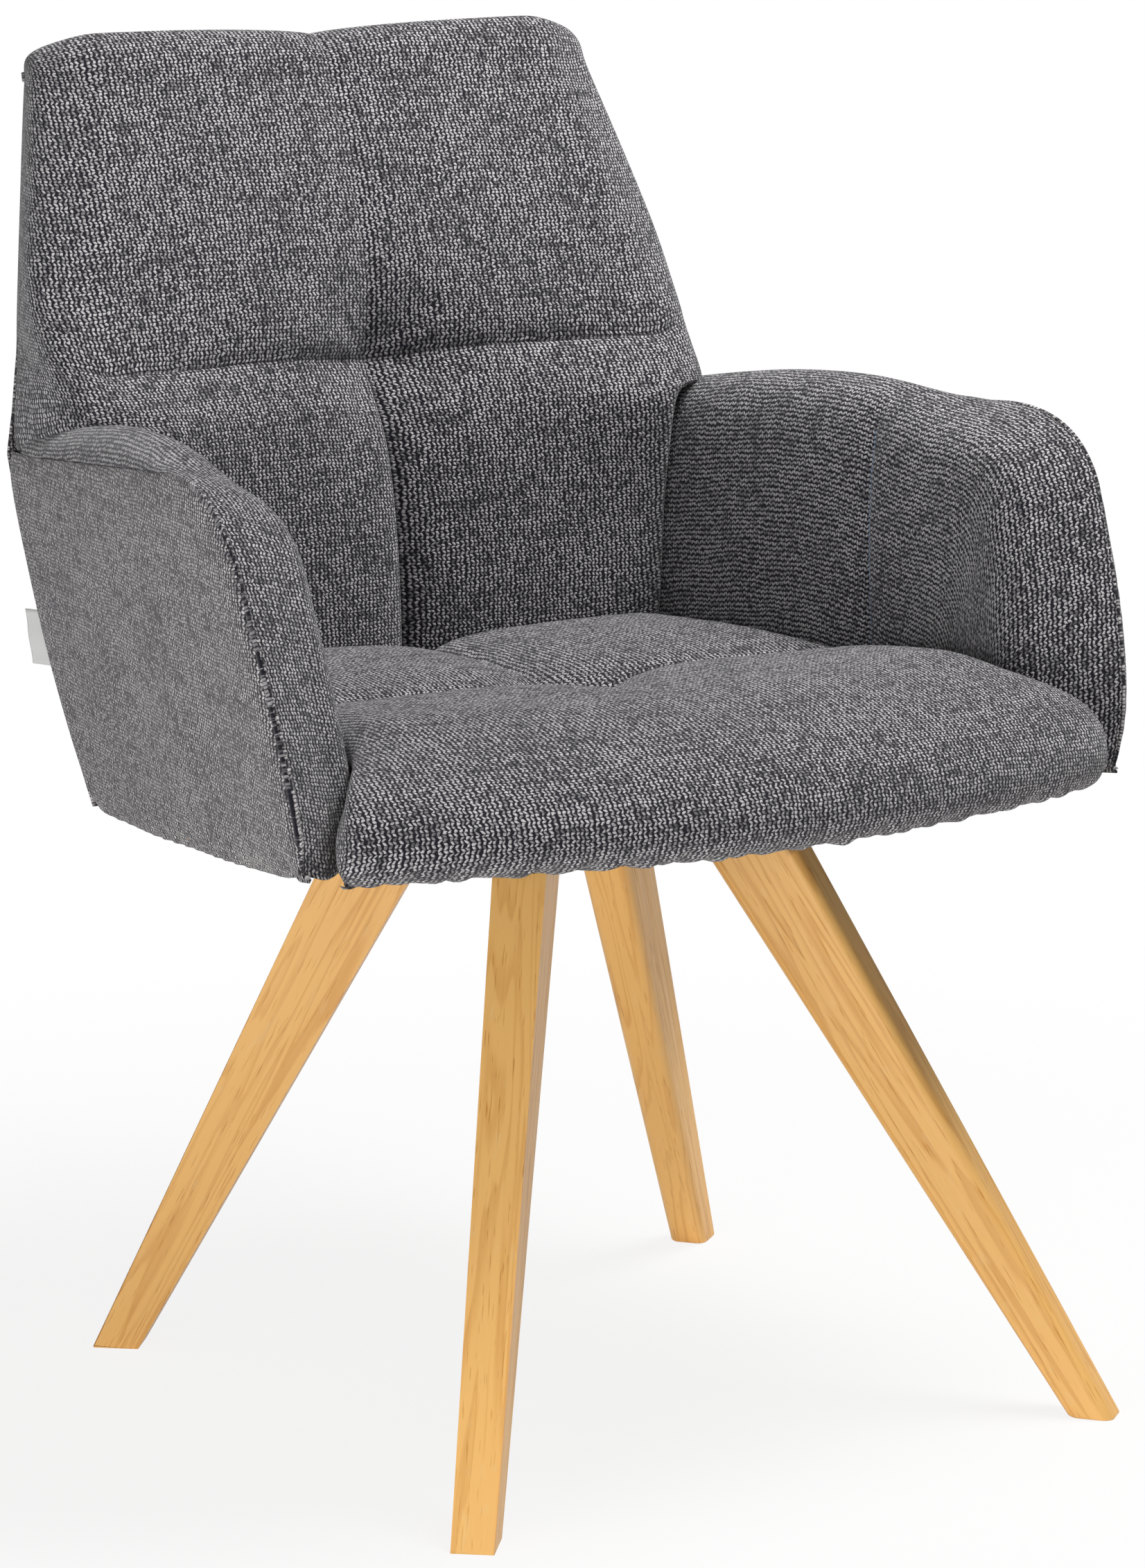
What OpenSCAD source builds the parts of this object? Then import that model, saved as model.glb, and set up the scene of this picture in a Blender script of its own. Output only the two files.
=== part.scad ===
// Upholstered bucket armchair on four splayed wooden legs.
// Millimetres. X to the sitter's left, -Y is where the chair faces, +Z up.
// The origin lies on the floor under the middle of the chair's width and depth.
// The wooden frame (seat board, back board, two side boards) carries foam pads.
// Every pad has its own sewn cover, and a steel plate under the seat board carries the legs.

/* [Seat] */
// Height of the seat's crown above the floor
seat_crown_z = 482; // [470:1:500]
// Height of the seat's rear edge above the floor
seat_rear_z = 468; // [460:1:475]
// How far the seat's front reaches ahead of the origin
seat_front = 330; // [315:1:345]
// How far the seat's top reaches behind the origin
seat_back = 157; // [150:1:160]
// How far the front corners curve back from the middle of the front edge
front_sweep = 65; // [45:1:80]
// How far inside the arms' outer sides the seat's front corners end
front_corner_inset = 21; // [16:1:30]
// How far the front corners wrap back towards the arms' feet
front_corner_wrap = 30; // [24:1:32]
// How far the seat's crossing seam lies behind the origin
seat_seam_y = -48; // [-70:1:-20]
// Depth of the seat's seams
seat_seam_depth = 6; // [2:0.5:9]
// Extra depth of the seat's pulled-in centre
seat_tuft_depth = 10; // [4:1:14]

/* [Back] */
// Height of the back's top edge above the floor
back_top_z = 878; // [850:1:900]
// Rise of the top edge above the back's flat face
back_edge_rise = 30; // [24:1:34]
// Half width of the back at the top edge
back_top_half_w = 206; // [190:1:220]
// How far the back's sides stand outside the arms' rear corners, just above the arms
back_arm_lap = 2; // [-2:0.5:5]
// How far behind the origin the outside back stands at floor level
back_plane_y = 66; // [60:1:72]
// Rake of the outside back from upright, in degrees
back_rake = 17.2; // [15:0.2:19]
// How far the outside back bows out below the arms
back_bow = 10; // [4:1:12]
// Inside back, lower end of its centre line behind the origin
back_low_y = 163; // [161:0.5:166]
// Inside back, middle of its centre line behind the origin
back_mid_y = 158; // [152:0.5:166]
// Inside back, upper end of its centre line behind the origin
back_high_y = 264; // [255:0.5:272]
// Height of the back's crossing seam
back_seam_z = 655; // [652:1:690]
// Depth of the back's seams
back_seam_depth = 6; // [2:0.5:9]
// Extra depth of the back's pulled-in centre
back_tuft_depth = 15; // [6:1:18]

/* [Arms] */
// Width over both arms, measured at their widest point
arms_w = 645; // [630:1:660]
// How much each arm closes in towards the back, per millimetre of depth
arm_toe = 0.15; // [0.13:0.005:0.17]
// How much each arm leans out, per millimetre of height
arm_lean = 0.13; // [0.11:0.005:0.15]
// Thickness of an arm from its side panel to its inner face
arm_t = 60; // [52:1:66]
// Height of the arm's outer seam at the back
arm_rear_z = 606; // [600:1:610]
// Height at which the arm's top and front edges would meet
arm_nose_z = 646; // [636:1:656]
// How far ahead of the origin the arm's top and front edges would meet
arm_nose_y = 180; // [170:1:190]
// Length of the rounded nose along the arm's top
arm_nose_top = 95; // [70:1:110]
// Length of the rounded nose down the arm's front edge
arm_nose_front = 80; // [60:1:95]
// How far the arm's front edge bows out between nose and foot
arm_front_bow = 16; // [8:1:22]
// How far ahead of the origin the arm's foot stands
arm_foot_y = 245; // [238:1:248]
// How far the arm's front edge turns back at its very foot
arm_foot_round = 11; // [4:1:14]
// Height of the arm band's crest above its seams, at the back
arm_crest = 17; // [12:1:19]
// How far the arm band's inner edge lies below its outer seam, at the nose
arm_nose_drop = 14; // [8:1:18]
// How far the arm band's inner edge lies behind its outer seam, near the foot
arm_foot_set_back = 29; // [24:1:38]
// Position of the arm's inner upright seam ahead of the origin
arm_seam_y = 34; // [28:1:40]
// Depth of the arm's inner upright seam
arm_seam_depth = 2; // [1:0.5:3]

/* [Frame] */
// Height of the seat board's underside
board_z = 408; // [406:0.5:411]
// Thickness of the seat board
board_t = 15; // [14:0.5:16]
// Thickness of the back board and of the side boards
panel_t = 12; // [10:1:13]
// How far the foam reaches ahead of the seat board's front edge
front_foam = 26; // [24:1:32]
// Height of the shell's lower edge at the back
hem_rear_z = 371; // [366:1:376]
// Size of the corner blocks, square across the grain
block_w = 22; // [18:1:24]
// Length of the corner blocks
block_l = 60; // [40:1:70]
// Diameter of the frame screws
screw_d = 4; // [3.5:0.5:5]
// Length of the frame screws
screw_l = 38; // [32:1:42]

/* [Covers] */
// Thickness of the quilted covers over the pads
cover_t = 3; // [2:0.5:3.5]
// Thickness of the plain panel covers and of their wadding
panel_cover_t = 2.5; // [2:0.5:3]
// Thickness of the dust cover
dust_t = 0.8; // [0.6:0.1:1.2]
// Width of the bare label tab
tab_w = 27; // [20:1:32]
// Height of the bare label tab
tab_h = 36; // [28:1:42]
// Height of the label tab's middle above the floor
tab_z = 481; // [460:1:520]
// Gap between neighbouring pieces
gap = 0.3; // [0.2:0.05:0.4]

/* [Legs] */
// Half the distance between the front feet
front_foot_x = 234; // [215:1:245]
// How far ahead of the origin the front feet stand
front_foot_y = 313; // [295:1:320]
// Half the distance between the rear feet
rear_foot_x = 233; // [215:1:245]
// How far behind the origin the rear feet stand
rear_foot_y = 170; // [160:1:185]
// Half the distance between the front legs' tops
front_top_x = 72; // [66:1:80]
// How far ahead of the origin the front legs' tops stand
front_top_y = 115; // [108:1:122]
// Half the distance between the rear legs' tops
rear_top_x = 68; // [64:1:78]
// How far behind the origin the rear legs' tops stand
rear_top_y = 34; // [28:1:42]
// Depth of a leg at its top, along its splay
leg_top_w = 71; // [64:1:76]
// Thickness of a leg at its top
leg_top_t = 35; // [30:1:38]
// Depth of a leg at its foot, along its splay
leg_foot_w = 31; // [26:1:38]
// Thickness of a leg at its foot
leg_foot_t = 27; // [22:1:30]
// Radius of a leg's long edges
leg_edge_r = 7; // [4:0.5:9]
// Chamfer round a leg's foot
foot_chamfer = 1.5; // [1:0.5:3]

/* [Base] */
// Thickness of the steel base plate
plate_t = 4; // [3:0.5:5]
// Radius of the plate's round lobe over each leg
plate_lobe_r = 44; // [40:1:48]
// Width of the plate's arms
plate_arm_w = 62; // [50:1:70]
// Diameter of the leg bolts
leg_bolt_d = 8; // [6:1:8]
// Reach of the leg bolts into the legs
leg_bolt_reach = 18; // [14:1:22]
// Outer diameter of the threaded inserts
insert_d = 12; // [11:0.5:13]
// Length of the threaded inserts
insert_l = 20; // [18:1:24]
// Distance between the two bolts of a leg
leg_bolt_pitch = 30; // [26:1:32]
// Diameter of the base bolts
base_bolt_d = 6; // [5:1:6]
// Half the distance between the base bolts, both ways
base_bolt_pitch = 36; // [30:1:40]

/* [Hidden] */

fabric = "dimgray";
foam = "khaki";
wood = "burlywood";
oak = "peru";
steel = "silver";

// Small helpers
function lerp(a, b, t) = a + (b - a) * t;
function clamp(v, lo, hi) = min(max(v, lo), hi);
function ease(t) = let(c = clamp(t, 0, 1)) c * c * (3 - 2 * c);
function curve(a, b, c, t) = (1 - t) * (1 - t) * a + 2 * t * (1 - t) * b + t * t * c;
function unit(v) = v / norm(v);

// The side panel's plane: its x at a place (y, z) on the sitter's left
arm_wide_y = -188;
arm_wide_z = 600;
function side_x(y, z) = arms_w / 2 - arm_toe * (y - arm_wide_y) + arm_lean * (z - arm_wide_z);
function arm_inner_x(y, z) = side_x(y, z) - arm_t;
toe_angle = atan(arm_toe);
lean_angle = atan(arm_lean * cos(toe_angle));

// The outside back: its y at a height z, on the raked plane and on the bowed face
bow_low_z = 372;
bow_high_z = 632;
function back_bow_y(z) = let(t = clamp((z - bow_low_z) / (bow_high_z - bow_low_z), 0, 1)) back_bow * 4 * t * (1 - t);
function back_y(z) = back_plane_y + z * tan(back_rake) + back_bow_y(z);

// The shell's lower edge: its height at a place y
hem_slope = 0.055;
hem_curl = 0.00008;
hem_start_y = 180.5;
function hem_z(y) = let(d = hem_start_y - y) hem_rear_z + hem_slope * d + hem_curl * d * d;

// Half widths that follow the arms: the seat's front corners and the back just above the arms
front_half_w = side_x(-arm_foot_y, hem_z(-arm_foot_y)) - front_corner_inset;
back_arm_half_w = side_x(back_y(arm_rear_z), arm_rear_z) + back_arm_lap;

// Closed solids between two grids of points
// The outer grid's rows run so that cross(next column, next row) points out of the solid.
// The inner grid has the same size, or half as many steps each way.
function grid_step(g, j, i) =
    let(rows = len(g) - 1, cols = len(g[0]) - 1,
        along = g[min(j + 1, rows)][i] - g[max(j - 1, 0)][i],
        across = g[j][min(i + 1, cols)] - g[j][max(i - 1, 0)])
    unit(cross(across, along));
function sunk(g, depth) =
    [for (j = [0 : len(g) - 1]) [for (i = [0 : len(g[0]) - 1]) g[j][i] - depth * grid_step(g, j, i)]];
function every_other(g) =
    [for (j = [0 : 2 : len(g) - 1]) [for (i = [0 : 2 : len(g[0]) - 1]) g[j][i]]];
function flat(g) = [for (row = g) for (p = row) p];
function loop_ids(rows, cols, first) =
    concat([for (i = [0 : cols - 2]) first + i],
           [for (j = [0 : rows - 2]) first + j * cols + cols - 1],
           [for (i = [cols - 1 : -1 : 1]) first + (rows - 1) * cols + i],
           [for (j = [rows - 1 : -1 : 1]) first + j * cols]);
function face_ids(rows, cols, first, flip) =
    [for (j = [0 : rows - 2]) for (i = [0 : cols - 2]) for (half = [0, 1])
        let(a = first + j * cols + i, b = a + 1, c = b + cols, d = a + cols,
            tri = half == 0 ? [a, c, b] : [a, d, c])
        flip ? [tri[2], tri[1], tri[0]] : tri];
module pad_solid(outer, inner) {
    rows = len(outer);
    cols = len(outer[0]);
    in_rows = len(inner);
    in_cols = len(inner[0]);
    ratio = (cols - 1) / (in_cols - 1);
    outer_loop = loop_ids(rows, cols, 0);
    inner_loop = loop_ids(in_rows, in_cols, rows * cols);
    n = len(outer_loop);
    m = len(inner_loop);
    rim = [for (k = [0 : m - 1]) for (s = [0 : ratio])
        let(a = outer_loop[k * ratio], mid = outer_loop[k * ratio + ratio - 1],
            b = outer_loop[(k * ratio + ratio) % n],
            c = inner_loop[k], d = inner_loop[(k + 1) % m])
        ratio == 1
            ? (s == 0 ? [a, b, c] : [b, d, c])
            : (s == 0 ? [a, mid, c] : s == 1 ? [mid, d, c] : [mid, b, d])];
    polyhedron(points = concat(flat(outer), flat(inner)),
               faces = concat(face_ids(rows, cols, 0, false),
                              face_ids(in_rows, in_cols, rows * cols, true),
                              rim),
               convexity = 6);
}

// Seat: the outer face of its cover
// Columns run from the sitter's left to right, rows from the back edge over the crown,
// round the front roll and under the seat board.
half_cols = 12;
wall_cols = 3;
seat_seam_row = 8;
seat_crown_row = 14;
seat_front_row = 19;
seat_rows = 24;
// The front roll: how deep and how high it is over the seat's front-most line
roll_depth = 120;
roll_height = 52;
seat_crown_y = -seat_front + roll_depth;
seat_side_z = board_z + board_t + 7;
seat_under_z = board_z - 5 * gap - cover_t;
front_roll_z = seat_crown_z - roll_height;
lower_roll = front_roll_z - seat_under_z;
function seat_path(j) =
    j == 0 ? [seat_back, seat_side_z]
    : j == 1 ? [seat_back, seat_rear_z - 14]
    : j == 2 ? [seat_back - 8, seat_rear_z - 3]
    : j <= seat_seam_row
        ? let(t = (j - 3) / (seat_seam_row - 3), y = lerp(seat_back - 22, seat_seam_y, t))
          [y, seat_top(y)]
    : j <= seat_crown_row
        ? let(t = (j - seat_seam_row) / (seat_crown_row - seat_seam_row),
              y = lerp(seat_seam_y, seat_crown_y, t))
          [y, seat_top(y)]
    : j <= seat_front_row
        ? let(a = 90 * (seat_front_row - j) / (seat_front_row - seat_crown_row))
          [seat_crown_y - roll_depth * cos(a), front_roll_z + roll_height * sin(a)]
    : j < seat_rows
        ? let(a = 90 * (j - seat_front_row) / (seat_rows - 1 - seat_front_row))
          [-seat_front + lower_roll * (1 - cos(a)), front_roll_z - lower_roll * sin(a)]
    : [-seat_front + lower_roll + 20, seat_under_z];
function seat_top(y) = lerp(seat_rear_z, seat_crown_z, clamp((seat_back - y) / (seat_back - seat_crown_y), 0, 1));
// How far the front roll's lower edge hangs lower at its ends
corner_sag = 4;
// The seat widens ahead of the arms' inner faces from here on, over this length
widen_y = -200;
widen_l = 62;
// Width of the sewn valleys' slopes and of the pulled-in centre
valley_w = 22;
tuft_w = 30;
function hollow(x, y, w) = exp(-(x * x + y * y) / (2 * w * w));
// Swell of the quilted fields between the valleys
field_swell = 3;
// How far the wrapped corners are tucked in ahead of the arms' feet
corner_tuck = 4;
// 1 on the rows that wrap round the front corners
function seat_corner(j) = ease((j - seat_front_row + 2) / 2) * (1 - ease((j - seat_front_row - 2) / 2));
function seat_low(j) = ease((j - seat_front_row) / 3);
// 0 on the seat's top, 1 on its front roll
function seat_roll(j) = ease((j - seat_crown_row + 3) / (seat_front_row - seat_crown_row + 2));
function seat_sweep(j) = j <= seat_seam_row
    ? -12 * (1 - ease(j / seat_seam_row))
    : front_sweep * ease((j - seat_seam_row) / (seat_front_row - 1 - seat_seam_row));
function seat_half_w(j, y, z) =
    let(inner = arm_inner_x(y, z) - 4 * gap)
    lerp(inner, front_half_w, ease((widen_y - y) / widen_l));
function seat_point(j, i) =
    let(side = i < half_cols ? 1 : -1,
        a = abs(i - half_cols),
        wall = a - (half_cols - wall_cols),
        path = seat_path(j),
        roll = seat_roll(j),
        edge_y = path[0] + seat_sweep(j),
        w = seat_half_w(j, edge_y, seat_crown_z - 16),
        u = wall <= 0 ? (a / (half_cols - wall_cols)) * (w - 28) / w
            : wall == 1 ? (w - 12) / w : 1,
        y = path[0] + seat_sweep(j) * u * u + roll * [0, 3, 11, front_corner_wrap][max(wall, 0)],
        z_wall = lerp(max(path[1] - [0, 2, 12, 0][max(wall, 0)], seat_side_z), path[1], roll),
        z = wall == 3 ? lerp(seat_side_z, path[1], roll) : z_wall,
        x = wall == 3 ? lerp(seat_half_w(j, y, z), front_half_w - corner_tuck, seat_corner(j))
            : w * u - (wall == 2 ? 1.5 : 0),
        groove = seat_seam_depth * (exp(-x / valley_w) + exp(-abs(path[0] - seat_seam_y) / valley_w)),
        tuft = seat_tuft_depth * hollow(x, y - seat_seam_y, tuft_w),
        sag = corner_sag * pow(x / front_half_w, 6) * seat_low(j))
    [side * x, y, z - sag - (wall <= 0 ? (1 - roll) * (groove + tuft - field_swell) : 0)];
seat_outer = [for (j = [0 : seat_rows]) [for (i = [0 : 2 * half_cols]) seat_point(j, i)]];
seat_lining = every_other(sunk(seat_outer, cover_t));
foam_depth = cover_t + 3 * gap;
seat_foam_top = [for (j = [0 : 11]) every_other(sunk(seat_outer, foam_depth))[j]];
function board_front_y(x) = -seat_front + front_foam + front_sweep * (x / front_half_w) * (x / front_half_w);
seat_edge_row = 8;
// Width of the foam's thin edges that follow the cover round the front corners
foam_corner_w = 18;
function seat_foam_seat(p, j) =
    let(front = board_front_y(p[0]) - 4 * gap,
        top = board_z + board_t + gap,
        drop = (j - seat_edge_row) * 5)
    j < seat_edge_row ? [p[0], max(p[1], front + 1), top]
    : [p[0], abs(p[0]) > front_half_w - foam_corner_w ? max(front, p[1] + cover_t) : front, top - max(drop, 0)];
seat_foam_under = [for (j = [0 : 11]) [for (p = seat_foam_top[j]) seat_foam_seat(p, j)]];

// Back: the outer face of its cover
// Rows run from behind the seat up the inside back and over the top edge.
back_low_rows = 8;
back_hip_rows = 2;
back_seam_row = 12;
back_face_row = 18;
back_crest_row = 22;
back_rows = 24;
back_low_z = 434;
back_face_z = back_top_z - back_edge_rise;
// The pad stands between the arms up to the hip, where it widens and sits on them
hip_z = arm_rear_z + arm_crest + 2;
hip_step = 2;
back_board_top = back_face_z - 2;
function back_row_z(j) =
    j <= back_low_rows ? lerp(back_low_z, hip_z, j / back_low_rows)
    : j <= back_low_rows + back_hip_rows ? hip_z + hip_step * (j - back_low_rows) / back_hip_rows
    : j <= back_seam_row
        ? lerp(hip_z + hip_step, back_seam_z,
               (j - back_low_rows - back_hip_rows) / (back_seam_row - back_low_rows - back_hip_rows))
    : lerp(back_seam_z, back_face_z, min((j - back_seam_row) / (back_face_row - back_seam_row), 1));
function back_row_angle(j) = j <= back_crest_row
    ? 180 - 90 * (j - back_face_row) / (back_crest_row - back_face_row)
    : 90 - 90 * (j - back_crest_row) / (back_rows - back_crest_row);
function face_y(z) =
    curve(back_low_y, back_mid_y, back_high_y, clamp((z - back_low_z) / (back_face_z - back_low_z), 0, 1));
function back_open(z) = clamp((z - hip_z) / hip_step, 0, 1);
// 1 where the pad wraps round the back board's edges
function back_wrap(z) = clamp((z - hip_z - hip_step) / (back_seam_z - hip_z - hip_step), 0, 1);
// The shoulder: from this height on the sides run straight to the top edge
shoulder_z = 640;
// 1 just over the arms, where the pad's front corners are well rounded
function back_hip(z) = back_open(z) * (1 - ease((z - shoulder_z) / 50));
// How far the pad's underside over the arms climbs towards the front, as the arms do
arm_climb = (arm_nose_z - arm_rear_z) / (back_y(arm_rear_z) + arm_nose_y);
function back_hip_lift(z, y) =
    (1 - ease(abs(z - hip_z - hip_step / 2) / 22)) * arm_climb * (back_y(arm_rear_z) - y);
function back_upper_w(z) =
    lerp(back_arm_half_w, back_top_half_w, clamp((z - shoulder_z) / (back_face_z - shoulder_z), 0, 1));
function back_half_w(y, z) = lerp(arm_inner_x(y, z) - 4 * gap, back_upper_w(z), back_open(z));
// Half width of the pad's face, which widens more gently over the arms than its sides do
function back_face_w(z) =
    lerp(arm_inner_x(face_y(z), z) - 4 * gap, back_upper_w(z), ease((z - hip_z) / 50));
// How far the face's side edges stand behind its middle: ahead of it where the pad meets the arms
crown_turn_z = shoulder_z - 7;
function back_crown(z) = z < crown_turn_z
    ? lerp(-15, -44, ease((z - crown_turn_z + 103) / 110))
    : lerp(-44, 2, ease((z - crown_turn_z) / 70));
// How far the side wall bulges past the pad's rear edge
function back_bulge(z) = lerp(-6, 12, ease((z - shoulder_z) / 80)) * back_open(z);
// How far the pad's rear edge is drawn in, most at the shoulder
edge_draw = 9;
function back_taper(z) = back_open(z)
    * (z < shoulder_z ? lerp(1, edge_draw, clamp((z - shoulder_z) / 30 + 1, 0, 1))
       : lerp(edge_draw, 1, clamp((z - shoulder_z) / 200, 0, 1)));
function back_rear_y(z) =
    back_y(z) - lerp(panel_cover_t + panel_t + 4 * gap, panel_cover_t + 2 * gap, back_wrap(z)) / cos(back_rake);
top_corner = [1, 0.9, 0.62, 0.2];
function back_point(j, i) =
    let(side = i < half_cols ? -1 : 1,
        a = abs(i - half_cols),
        wall = max(a - (half_cols - wall_cols), 0),
        z = back_row_z(j),
        angle = back_row_angle(j),
        w = back_half_w(face_y(z), z),
        face_w = back_face_w(z),
        x = wall == 0 ? (a / (half_cols - wall_cols)) * (face_w - 26)
            : wall == 1 ? w - 9 + back_bulge(z) / 3 - 20 * back_hip(z)
            : wall == 2 ? w + back_bulge(z) * (j > back_face_row ? 0.55 - 0.45 * cos(angle) : 1)
            : back_half_w(back_rear_y(z), z) - back_taper(z),
        u = min(x / face_w, 1),
        rear = back_rear_y(z),
        seam = min(1, (back_face_z - z) / 60),
        groove = back_seam_depth * exp(-x / 24) * (j > back_face_row ? 0.5 : 1)
                 + back_seam_depth * exp(-abs(z - back_seam_z) / 20) * ease((w - x) / 60),
        tuft = back_tuft_depth * hollow(x, z - back_seam_z, tuft_w + 2),
        front = face_y(z) + back_crown(z) * u * u + groove * ease(seam + 0.3) + tuft,
        y_wall = lerp(front, rear, lerp([0, 0.02, 0.1, 1][wall], [0, 0.1, 0.3, 1][wall], back_open(z))),
        rise = back_edge_rise * top_corner[wall] - 5 * exp(-x / 30))
    j <= back_face_row
        ? [side * x, y_wall, z + (wall > 0 ? back_hip_lift(z, y_wall) : 0)]
        : [side * x,
           (y_wall + rear) / 2 + (rear - y_wall + (wall == 3 ? 4 : 0)) / 2 * cos(angle),
           z + rise * sin(angle)];
back_outer = [for (j = [0 : back_rows]) [for (i = [0 : 2 * half_cols]) back_point(j, i)]];
back_lining = every_other(sunk(back_outer, cover_t));
back_foam_rows = back_crest_row / 2;
back_foam_depth = cover_t + 3;
// The foam's side stays clear of the cover's up to the hip
function back_foam_half_w(j, p) =
    j <= back_low_rows / 2 ? arm_inner_x(face_y(hip_z), p[2]) - 10 - back_foam_depth : abs(p[0]);
// At the hip, where the cover folds out over the arms, the foam lies further in
hip_relief = [0, 9, 4];
back_foam_face = [for (j = [0 : back_foam_rows]) [for (i = [1 : half_cols - 1])
    let(p = every_other(sunk(back_outer, back_foam_depth))[j][i],
        at_hip = j == back_low_rows / 2 || j == (back_low_rows + back_hip_rows) / 2 ? 1 : 0)
    [sign(p[0]) * min(abs(p[0]), back_foam_half_w(j, p)), p[1], p[2]] + hip_relief * at_hip]];
function board_face_y(z) = back_y(z) - (panel_cover_t + panel_t + 2 * gap) / cos(back_rake);
back_foam_rear = [for (row = back_foam_face) [for (p = row)
    let(z = min(p[2], back_board_top - 4 + (p[2] - back_board_top) / 20),
        y = board_face_y(z) - 2 * gap,
        x = back_half_w(y, z) - back_taper(z) - cover_t - 3)
    [sign(p[0]) * min(abs(p[0]), x), y, z]]];

// Arm: the outer face of its cover, on the sitter's left
// Rows run along the arm from the back to the foot, columns from the outer seam
// over the band and down the inner panel.
arm_top_rows = 12;
arm_nose_rows = 6;
arm_front_rows = 8;
arm_rows = arm_top_rows + arm_nose_rows + arm_front_rows;
band_cols = 6;
turn_cols = 3;
panel_cols = 5;
arm_cols = band_cols + turn_cols + panel_cols;
arm_turn_r = 22;
arm_nose_bulge = 1.5;
arm_panel_z = board_z + board_t + 7;
arm_start = [back_y(arm_rear_z) - (panel_cover_t + panel_t + 6 * gap) / cos(back_rake), arm_rear_z];
arm_nose = [-arm_nose_y, arm_nose_z];
arm_foot = [-arm_foot_y, hem_z(-arm_foot_y) + 1];
nose_start = arm_nose + unit(arm_start - arm_nose) * arm_nose_top;
nose_end = arm_nose + unit(arm_foot - arm_nose) * arm_nose_front;
front_bow = (nose_end + arm_foot) / 2 - [arm_front_bow, 0];
seam_station = 10;
seam_share = clamp((arm_start[0] + arm_seam_y) / (arm_start[0] - nose_start[0]), 0.5, 0.95);
// Place of a station along the arm's outer seam, as (y, z)
function arm_seam(s) =
    s <= arm_top_rows
        ? let(t = s <= seam_station
                  ? seam_share * s / seam_station
                  : lerp(seam_share, 1, (s - seam_station) / (arm_top_rows - seam_station)))
          lerp(arm_start, nose_start, t)
    : s <= arm_top_rows + arm_nose_rows
        ? curve(nose_start, arm_nose, nose_end, (s - arm_top_rows) / arm_nose_rows)
    : let(t = (s - arm_top_rows - arm_nose_rows) / arm_front_rows)
      curve(nose_end, front_bow, arm_foot, t) + [arm_foot_round * pow(t, 8), 0];
function arm_out(s) =
    let(step = arm_seam(min(s + 0.5, arm_rows)) - arm_seam(max(s - 0.5, 0)))
    unit([step[1], -step[0]]);
// Height of the band's inner edge over its outer edge: level at the back, behind it at the foot
function arm_rise(s) =
    s < arm_top_rows ? -arm_nose_drop * pow(s / arm_top_rows, 3)
    : lerp(-arm_nose_drop, -arm_foot_set_back, ease((s - arm_top_rows - 3) / (arm_front_rows + 1)));
function arm_bulge(s) = lerp(arm_crest, arm_nose_bulge, ease((s - 8) / 6));
// Lower end of a station's line on the inner panel, at the seat and near the foot down to the hem
low_nose_start_y = nose_start[0] + 1;
low_nose_end_y = nose_end[0] + 65;
low_foot_y = arm_foot[0] + 52;
function arm_low(s) =
    s <= arm_top_rows
        ? let(t = (arm_start[0] - arm_seam(s)[0]) / (arm_start[0] - nose_start[0]))
          [lerp(board_face_y(arm_panel_z) - 4 * gap, low_nose_start_y, t), arm_panel_z]
    : s <= arm_top_rows + arm_nose_rows
        ? [lerp(low_nose_start_y, low_nose_end_y, (s - arm_top_rows) / arm_nose_rows), arm_panel_z]
    : let(t = (s - arm_top_rows - arm_nose_rows) / arm_front_rows)
      [lerp(low_nose_end_y, low_foot_y, t), lerp(arm_panel_z, arm_foot[1], ease((t - 0.45) / 0.45))];
function clear_of_back(p) = [min(p[0], board_face_y(p[1]) - 5 * gap), p[1]];
function arm_point(s, k) =
    let(place = arm_seam(s),
        out = arm_out(s),
        rise = arm_rise(s),
        flat_w = arm_t - arm_turn_r,
        drop = arm_turn_r + 2)
    k <= band_cols
        ? let(d = flat_w * k / band_cols,
              p = place + out * (rise * d / flat_w + arm_bulge(s) * sin(180 * d / arm_t) + gap))
          [side_x(p[0], p[1]) - d, p[0], p[1]]
    : k <= band_cols + turn_cols
        ? let(a = 90 * (k - band_cols) / turn_cols,
              d = flat_w + arm_turn_r * sin(a),
              bulge = arm_bulge(s) * sin(180 * flat_w / arm_t) * cos(a),
              p = clear_of_back(place + out * (rise + bulge - drop * (1 - cos(a)) + gap)))
          [side_x(p[0], p[1]) - d, p[0], p[1]]
    : let(t = (k - band_cols - turn_cols) / panel_cols,
          top = place + out * (rise - drop + gap),
          p = clear_of_back(lerp(top, arm_low(s), t)),
          seam = s == seam_station ? arm_seam_depth * sin(180 * clamp(t * 1.1, 0, 1)) : 0,
          crown = 3 * sin(180 * clamp(t * 1.5, 0, 1)) * clamp(1 - s / (arm_rows - 3), 0, 1)
                  * ease((back_low_y - 30 - p[0]) / 60))
      [side_x(p[0], p[1]) - arm_t - crown + seam, p[0], p[1]];
arm_outer = [for (s = [0 : arm_rows]) [for (k = [0 : arm_cols]) arm_point(s, k)]];
arm_lining = sunk(arm_outer, cover_t);
arm_foam_first = 2;
arm_foam_rows = arm_rows / 2 - 1;
arm_foam_face = [for (s = [0 : arm_foam_rows]) [for (k = [arm_foam_first : arm_cols / 2])
    every_other(sunk(arm_outer, foam_depth))[s][k]]];
side_stack = panel_cover_t + panel_t + 3 * gap;
stack_x = side_stack / cos(lean_angle) / cos(toe_angle);
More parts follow.
